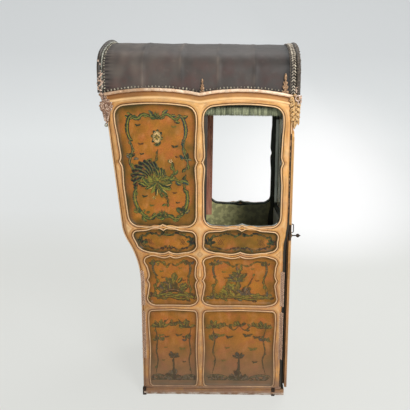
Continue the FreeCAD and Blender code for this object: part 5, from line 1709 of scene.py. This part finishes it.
def fused(name, form, voxel, look, body, slot):
    """A carving whose overlapping lobes are melted into one skin."""
    piece = form.piece(name, look, body, slot)
    melt = piece.modifiers.new("melt", "REMESH")
    melt.mode, melt.voxel_size = "VOXEL", voxel * MM
    soften = piece.modifiers.new("soften", "SMOOTH")
    soften.factor, soften.iterations = 0.5, 2
    mesh = evaluated(piece)
    piece.modifiers.clear()
    piece.data = mesh
    mesh.shade_smooth()
    mesh.materials.clear()
    mesh.materials.append(finish(look))
    return piece


def acanthus(form, root, down, out, sideways, long, wide, thick):
    """A hanging acanthus: plump lobes down its spine, flanked by pairs that shrink downwards."""
    root, down, out, sideways = (Vector(v) for v in (root, down, out, sideways))
    for share, size in ((0.14, 1.0), (0.42, 0.82), (0.68, 0.62), (0.9, 0.42)):
        petal_solid(form, root + down * long * share, down, out, long * 0.34, wide * 0.5 * size,
                    thick * 1.2, 0.6)
    for number in range(5):
        t = number / 5
        size = 1 - 0.5 * t
        for way in (-1, 1):
            lean = down * 0.8 + sideways * way * 0.75
            spot = root + down * long * (0.05 + t * 0.86) + sideways * way * wide * 0.31 * size
            petal_solid(form, spot + out * thick * 0.3, lean, out + sideways * way * 0.3, wide * 0.5 * size,
                        wide * 0.36 * size, thick * 1.1, 0.55)


class SEDAN_OT_carvings(bpy.types.Operator):
    """Carves the acanthus and shell brackets at the upper corners and the gilt sprays on the cornices."""
    bl_idname = "sedan.carvings"
    bl_label = "Carvings"

    def execute(self, context):
        drops = Form()
        for end, x_of, way, look in (("front", front_x, 1, "gilt_carving"),
                                     ("rear", rear_x, -1, "rosy_carving")):
            form = Form()
            for _, side in SIDES:
                flat, ahead = Vector((0, side, 0)), Vector((way, 0, 0))
                down = Vector(((x_of(1310) - x_of(1430)) / 120, 0, -1)).normalized()
                if end == "front":
                    top = Vector((416, side * 325, 1434))
                    petal_solid(form, top + down * 56, down, flat, 150, 50, 11, 0)
                    acanthus(form, top + flat * 7, down, flat + ahead * 0.25, ahead, 128, 54, 8)
                    acanthus(form, top + ahead * 19 - flat * 12, down, ahead, flat, 112, 34, 7)
                    for aside in (-15, 15):
                        root = top + Vector((aside, side * 8, -2))
                        petal_solid(form, root, (aside, 0, 12), flat, 26, 19, 9)
                else:
                    # a ribbed shell over a tapering drop that ends in a bud
                    hub = Vector((-416, side * 327, 1392))
                    petal_solid(form, hub, (0, 0, 1), flat, 66, 58, 10, 0)
                    acanthus(form, Vector((-428, side * 325, 1445)), down, flat, ahead, 36, 34, 7)
                    for a in angles(12):
                        rib = Vector((math.cos(a), 0, math.sin(a)))
                        petal_solid(form, hub + rib * 17 + flat * 4, rib, flat, 25, 17, 8, 0.4)
                        petal_solid(form, hub + rib * 27 + flat * 2, rib, flat, 11, 12, 7, 0)
                    petal_solid(form, hub + flat * 8 - ahead * 3, (0, 0, 1), flat, 20, 15, 8, 0.5)
                    acanthus(form, hub + flat * 2 + Vector((0, 0, -26)), (0, 0, -1), flat, ahead, 50, 34, 8)
                    acanthus(form, Vector((x_of(1420) - 6, side * 312, 1432)), down, ahead, flat, 108, 36, 8)
                    petal_solid(drops, (-419, side * 327, 1309), (0, 0, 1), flat, 18, 16, 9, 0)
            piece = fused(f"{end}_corner_carving", form, 1.75, look, "cabin", "gilt_wood")
            if end == "front":
                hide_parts("corner_carvings")
        drops.piece("rear_drops", "rear_bead", "cabin", "gilt_wood")
        # tiers of small leaves up a stem, and a bud at the tip: height up the stem, lean, length, width
        tiers = ((0.10, 0.6, 0.26, 0.15), (0.18, 0.0, 0.30, 0.14), (0.34, 0.55, 0.24, 0.14),
                 (0.40, 0.0, 0.34, 0.17), (0.52, 0.45, 0.22, 0.10), (0.62, 0.0, 0.22, 0.10),
                 (0.77, 0.25, 0.20, 0.08), (0.87, 0.0, 0.28, 0.13))
        sprays = Form()
        for _, side in SIDES:
            for x, tall in ((8, 66), (372, 92)):
                base = Vector((x, side * (SIDE_FACE + 1.5), cornice_z(x) - 6))
                for share, sway, long, wide in tiers:
                    for lean in (sway, -sway) if sway else (0.0,):
                        root = base + Vector((math.sin(lean) * tall * long * 0.5, 0, tall * share))
                        petal_solid(sprays, root, (math.sin(lean), 0, math.cos(lean)), (0, side, 0),
                                    tall * long, tall * wide, 4.5)
        scrolls = Form()
        for _, side in SIDES:
            eye = Vector((427, side * 339, 1431))
            turn = [eye + Vector((math.cos(a), 0, math.sin(a))) * 14 * (1 - 0.07 * a)
                    for a in steps(0, 7, 14)]
            for here, there in zip(turn, turn[1:]):
                petal_solid(scrolls, (here + there) / 2, there - here, (0, side, 0), 12, 8, 9, 0.2)
            for x, z, sway in ((440, 1418, 0.3), (439, 1439, 0.5), (429, 1411, -0.2), (417, 1442, -0.5)):
                petal_solid(scrolls, (x, side * 338, z), (sway, 0, 1), (0, side, 0), 17, 9, 7, 0.3)
        fused("front_scrolls", scrolls, 1.6, "foot_spray", "cabin", "gilt_wood")
        piece = fused("cornice_sprays", sprays, 1.45, "spray", "cabin", "gilt_wood")
        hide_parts("cornice_finials")
        return {"FINISHED"}


class SEDAN_OT_roof_feet(bpy.types.Operator):
    """Carves the leaves that climb the lower ends of the roof's end frames."""
    bl_idname = "sedan.roof_feet"
    bl_label = "Roof feet"

    def execute(self, context):
        form = Form()
        bends = ((-7, 42), (0, 47), (8, 43), (9, 34), (2, 27), (-6, 21), (-8, 12), (-1, 5), (7, 4))
        for _, side in SIDES:
            out = (0, side, 0)
            for x, low, tiers, scale in ((ROOF_REAR - 8, 1454, 2, 1.0), (ROOF_FRONT + 7, 1452, 1, 0.62)):
                for tier in range(tiers):
                    size, foot = (1 - 0.2 * tier) * scale, low + 42 * tier
                    line = [Vector((x + a * size, side * 323, foot + b * size)) for a, b in bends]
                    for here, there in zip(line, line[1:]):
                        petal_solid(form, (here + there) / 2, there - here, out, 15 * size, 11 * size,
                                    6.5, 0.2)
                    for a, b, sway in ((-9, 32, -0.7), (9, 18, 0.8), (12, 40, 0.5)):
                        petal_solid(form, (x + a * size, side * 322, foot + b * size), (sway, 0, 0.8), out,
                                    18 * size, 9 * size, 5)
                # small buds above, to one side and the other
                for number in range(3 * tiers - 2):
                    spot = (x + 4 * (-1) ** number, side * 322, low + 44 * tiers + 14 * number)
                    petal_solid(form, spot, (0, 0, 1), out, 11, 7, 4)
        fused("roof_feet_carving", form, 1.6, "foot_spray", "roof", "dark_wood")
        return {"FINISHED"}


class SEDAN_OT_scales(bpy.types.Operator):
    """Cuts the overlapping scales down the lower corner posts."""
    bl_idname = "sedan.scales"
    bl_label = "Scale carving"

    def execute(self, context):
        meshes = []
        for _, side in SIDES:
            far = (0, -side * FAR, 300)
            for edge, way in ((rear_x, 1), (front_x, -1)):
                for low, high in ((196, 428), (468, 630)):
                    for column in range(3):
                        # every other column starts half a scale higher
                        up = 4.5 * (column % 2)
                        line = [(edge(z) + way * (2.5 + 6.4 * column), side * (SIDE_FACE + 4.2), z)
                                for z in steps(low + up, high + up, 30)]
                        meshes.append(strung([line], 9.0, (11.5, 8.0, 7.5), "old_gilt", far, 0, 0.16,
                                             20 + column))
        joined("scale_carving", meshes, "old_gilt", "cabin")
        return {"FINISHED"}


# ---------------------------------------------------------------- inside

class SEDAN_OT_fringes(bpy.types.Operator):
    """Hangs silk fringe under the heads of the windows."""
    bl_idname = "sedan.fringes"
    bl_label = "Fringes"

    def execute(self, context):
        drop = settings().fringe_drop
        heads, tassels = [], []
        for _, side in SIDES:
            left, right = bays()[1]
            run = steps(left(1380) - 6, right(1380) + 6, 60)
            inside = side * (SIDE_FACE - 29)
            far = (0, -side * FAR, 1400)
            for level in range(3):
                line, tilt = [(u, inside, 1404 - 7 * level) for u in run], 35 if level % 2 else -35
                heads.append(strung([line], 4.2, (5.2, 7.4, 4.0), "silk_dark", far, tilt, 0.1, 30 + level))
            for layer in range(3):
                out = inside + side * (1.8 - 1.8 * layer)
                line = [(u, out, 1353 + drop / 2 + 2.0 * noise.noise(Vector((u / 14, layer, side))))
                        for u in run]
                tassels.append(strung([line], 2.7 + 0.5 * layer, (2.4, drop, 2.2), "silk_pale", far, 0, 0.12,
                                      40 + layer))
        joined("fringe_heading", heads, "silk_dark", "cabin")
        joined("silk_fringe", tassels, "silk_pale", "cabin")
        return {"FINISHED"}


def opened(line):
    """A part of a closed line, turned so that it starts after its widest gap."""
    start = max(range(len(line)), key=lambda i: math.dist(line[i], line[i - 1]))
    return line[start:] + line[:start]


class SEDAN_OT_runners(bpy.types.Operator):
    """Sets the bare wood runner of the sliding pane inside each middle post with a dark plate of painted
    shade behind it, gimp round the windows, a pale strip of painted highlight along each sill, and pale
    strips of painted light in the door's pane rebates.
    """
    bl_idname = "sedan.runners"
    bl_label = "Pane runners"

    def execute(self, context):
        form, backs, ribbon, gimp = Form(), Form(), Form(), []
        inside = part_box("side_lining_left")[0][1] / MM
        left, right = bays()[1]
        window = Opening(left, right, ROWS[0])
        for _, side in SIDES:
            # the runners, and a dark plate behind them: painted shade
            for made, low, high, near, far in ((form, -4, 31, 0.4, 2.8), (form, -4, 1, 2.0, 5.0),
                                               (backs, -6, 31, -0.4, 0.4)):
                corners = [(low - 10, 780), (high - 10, 780), (high, 1402), (low, 1402)]
                made.grid([[(x, side * (inside - deep), z) for x, z in corners] for deep in (near, far)],
                          across=True, caps=True)
            line = opened([(u, side * (inside - 1.0), v - 1) for u, v in window.carved(6.0) if v < 1300])
            gimp.append(strung([line], 5.0, (6.5, 9, 4), "silk_dark", (0, side * FAR, 1100), 20, 0.1, 51))
            # a pale strip along the sill: painted highlight
            sill = opened([(u, v) for u, v in window.carved() if v < window.foot + 16])
            sweep(ribbon, sill, ((-0.5, -9), (-0.5, -5.5), (-5.5, -5.5), (-5.5, -9)), on_side(side), False)
        ribbon.piece("sill_highlights", "painted_light", "cabin", "green_damask")
        backs.piece("runner_backs", "dark_wood", "cabin", "plain_wood")
        form.piece("pane_runners", "runner", "cabin", "plain_wood")
        # pale strips in the door's rebates: painted light seen through the door's glass
        rebate, tree = Form(), solid_tree("door_stiles")
        for way in (-1, 1):
            rows = []
            for z in steps(868, 1336, 30):
                hit = ray(tree, (394, 0, z), (0, way, 0))
                rows.append([(x, hit.y - way * lift, z)
                             for x, lift in ((384, 0.2), (399, 0.2), (399, 2.2), (384, 2.2))])
            rebate.grid(rows, across=True, caps=True)
        rebate.piece("door_pane_rebates", "painted_light", "door", "plain_wood")
        joined("window_gimp", gimp, "silk_dark", "cabin")
        return {"FINISHED"}


class SEDAN_OT_cushion(bpy.types.Operator):
    """Stuffs the velvet seat cushion."""
    bl_idname = "sedan.cushion"
    bl_label = "Cushion"

    def execute(self, context):
        low, high = (Vector(c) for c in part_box("seat_cushion"))
        inset = Vector((6, 6, 5)) * MM
        low, high = low + inset, high - inset
        centre, half = (low + high) / 2, (high - low) / 2
        work = bmesh.new()
        bmesh.ops.create_cube(work, size=2)
        for v in work.verts:
            v.co = Vector(tuple(centre[i] + v.co[i] * half[i] for i in range(3)))
        bmesh.ops.bevel(work, geom=work.edges[:], offset=12 * MM, segments=3, affect="EDGES")
        mesh = bpy.data.meshes.new("velvet_cushion")
        work.to_mesh(mesh)
        work.free()
        cushion = place_piece("velvet_cushion", mesh, "velvet", "cabin")
        skin = cushion.modifiers.new("skin", "REMESH")
        skin.mode, skin.voxel_size = "VOXEL", 6 * MM
        cushion.data = evaluated(cushion)
        cushion.modifiers.clear()
        start = [v.co.copy() for v in cushion.data.vertices]
        cloth = cushion.modifiers.new("stuffing", "CLOTH")
        cloth.settings.use_pressure = True
        cloth.settings.uniform_pressure_force = 4.0
        cloth.settings.effector_weights.gravity = 0.0
        for number in range(1, 21):
            context.scene.frame_set(number)
        stuffed = evaluated(cushion)
        cushion.modifiers.clear()
        context.scene.frame_set(1)
        # the stuffing swells it by 7 mm at most, and not through the seat
        most, seat = 7 * MM, low.z - inset.z + 0.4 * MM
        for v, was in zip(stuffed.vertices, start):
            move = v.co - was
            if move.length > most:
                move *= most / move.length
            v.co = was + move
            v.co.z = max(v.co.z, seat)
        cushion.data = stuffed
        fine = cushion.modifiers.new("fine", "SUBSURF")
        fine.levels = fine.render_levels = 1
        cushion.data = evaluated(cushion)
        cushion.modifiers.clear()
        cushion.data.shade_smooth()
        cushion.data.materials.clear()
        cushion.data.materials.append(finish("velvet"))
        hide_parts("seat_cushion")
        return {"FINISHED"}


# ---------------------------------------------------------------- panel and run

class SEDAN_PT_panel(bpy.types.Panel):
    bl_label = "Sedan Chair"
    bl_idname = "SEDAN_PT_panel"
    bl_space_type = "VIEW_3D"
    bl_region_type = "UI"
    bl_category = "Sedan Chair"

    def draw(self, context):
        chosen = context.scene.sedan_chair
        for name in chosen.bl_rna.properties.keys():
            if name not in ("rna_type", "name"):
                self.layout.prop(chosen, name)
        for operator in OPERATORS:
            self.layout.operator(operator.bl_idname)


OPERATORS = (SEDAN_OT_stage, SEDAN_OT_finishes, SEDAN_OT_side_mouldings, SEDAN_OT_edge_shadows, SEDAN_OT_knots,
             SEDAN_OT_cornices, SEDAN_OT_back_mouldings, SEDAN_OT_paintings, SEDAN_OT_roof_leather,
             SEDAN_OT_roof_trim, SEDAN_OT_carvings, SEDAN_OT_roof_feet, SEDAN_OT_scales, SEDAN_OT_fringes,
             SEDAN_OT_runners, SEDAN_OT_cushion)
CLASSES = (SedanChairSettings,) + OPERATORS + (SEDAN_PT_panel,)


def register():
    for item in CLASSES:
        bpy.utils.register_class(item)
    bpy.types.Scene.sedan_chair = bpy.props.PointerProperty(type=SedanChairSettings)


def unregister():
    del bpy.types.Scene.sedan_chair
    for item in reversed(CLASSES):
        bpy.utils.unregister_class(item)


def main():
    register()
    for operator in OPERATORS:
        group, name = operator.bl_idname.split(".")
        result = getattr(getattr(bpy.ops, group), name)()
        if result != {"FINISHED"}:
            raise RuntimeError(f"{operator.bl_label} did not finish")


if __name__ == "__main__":
    main()
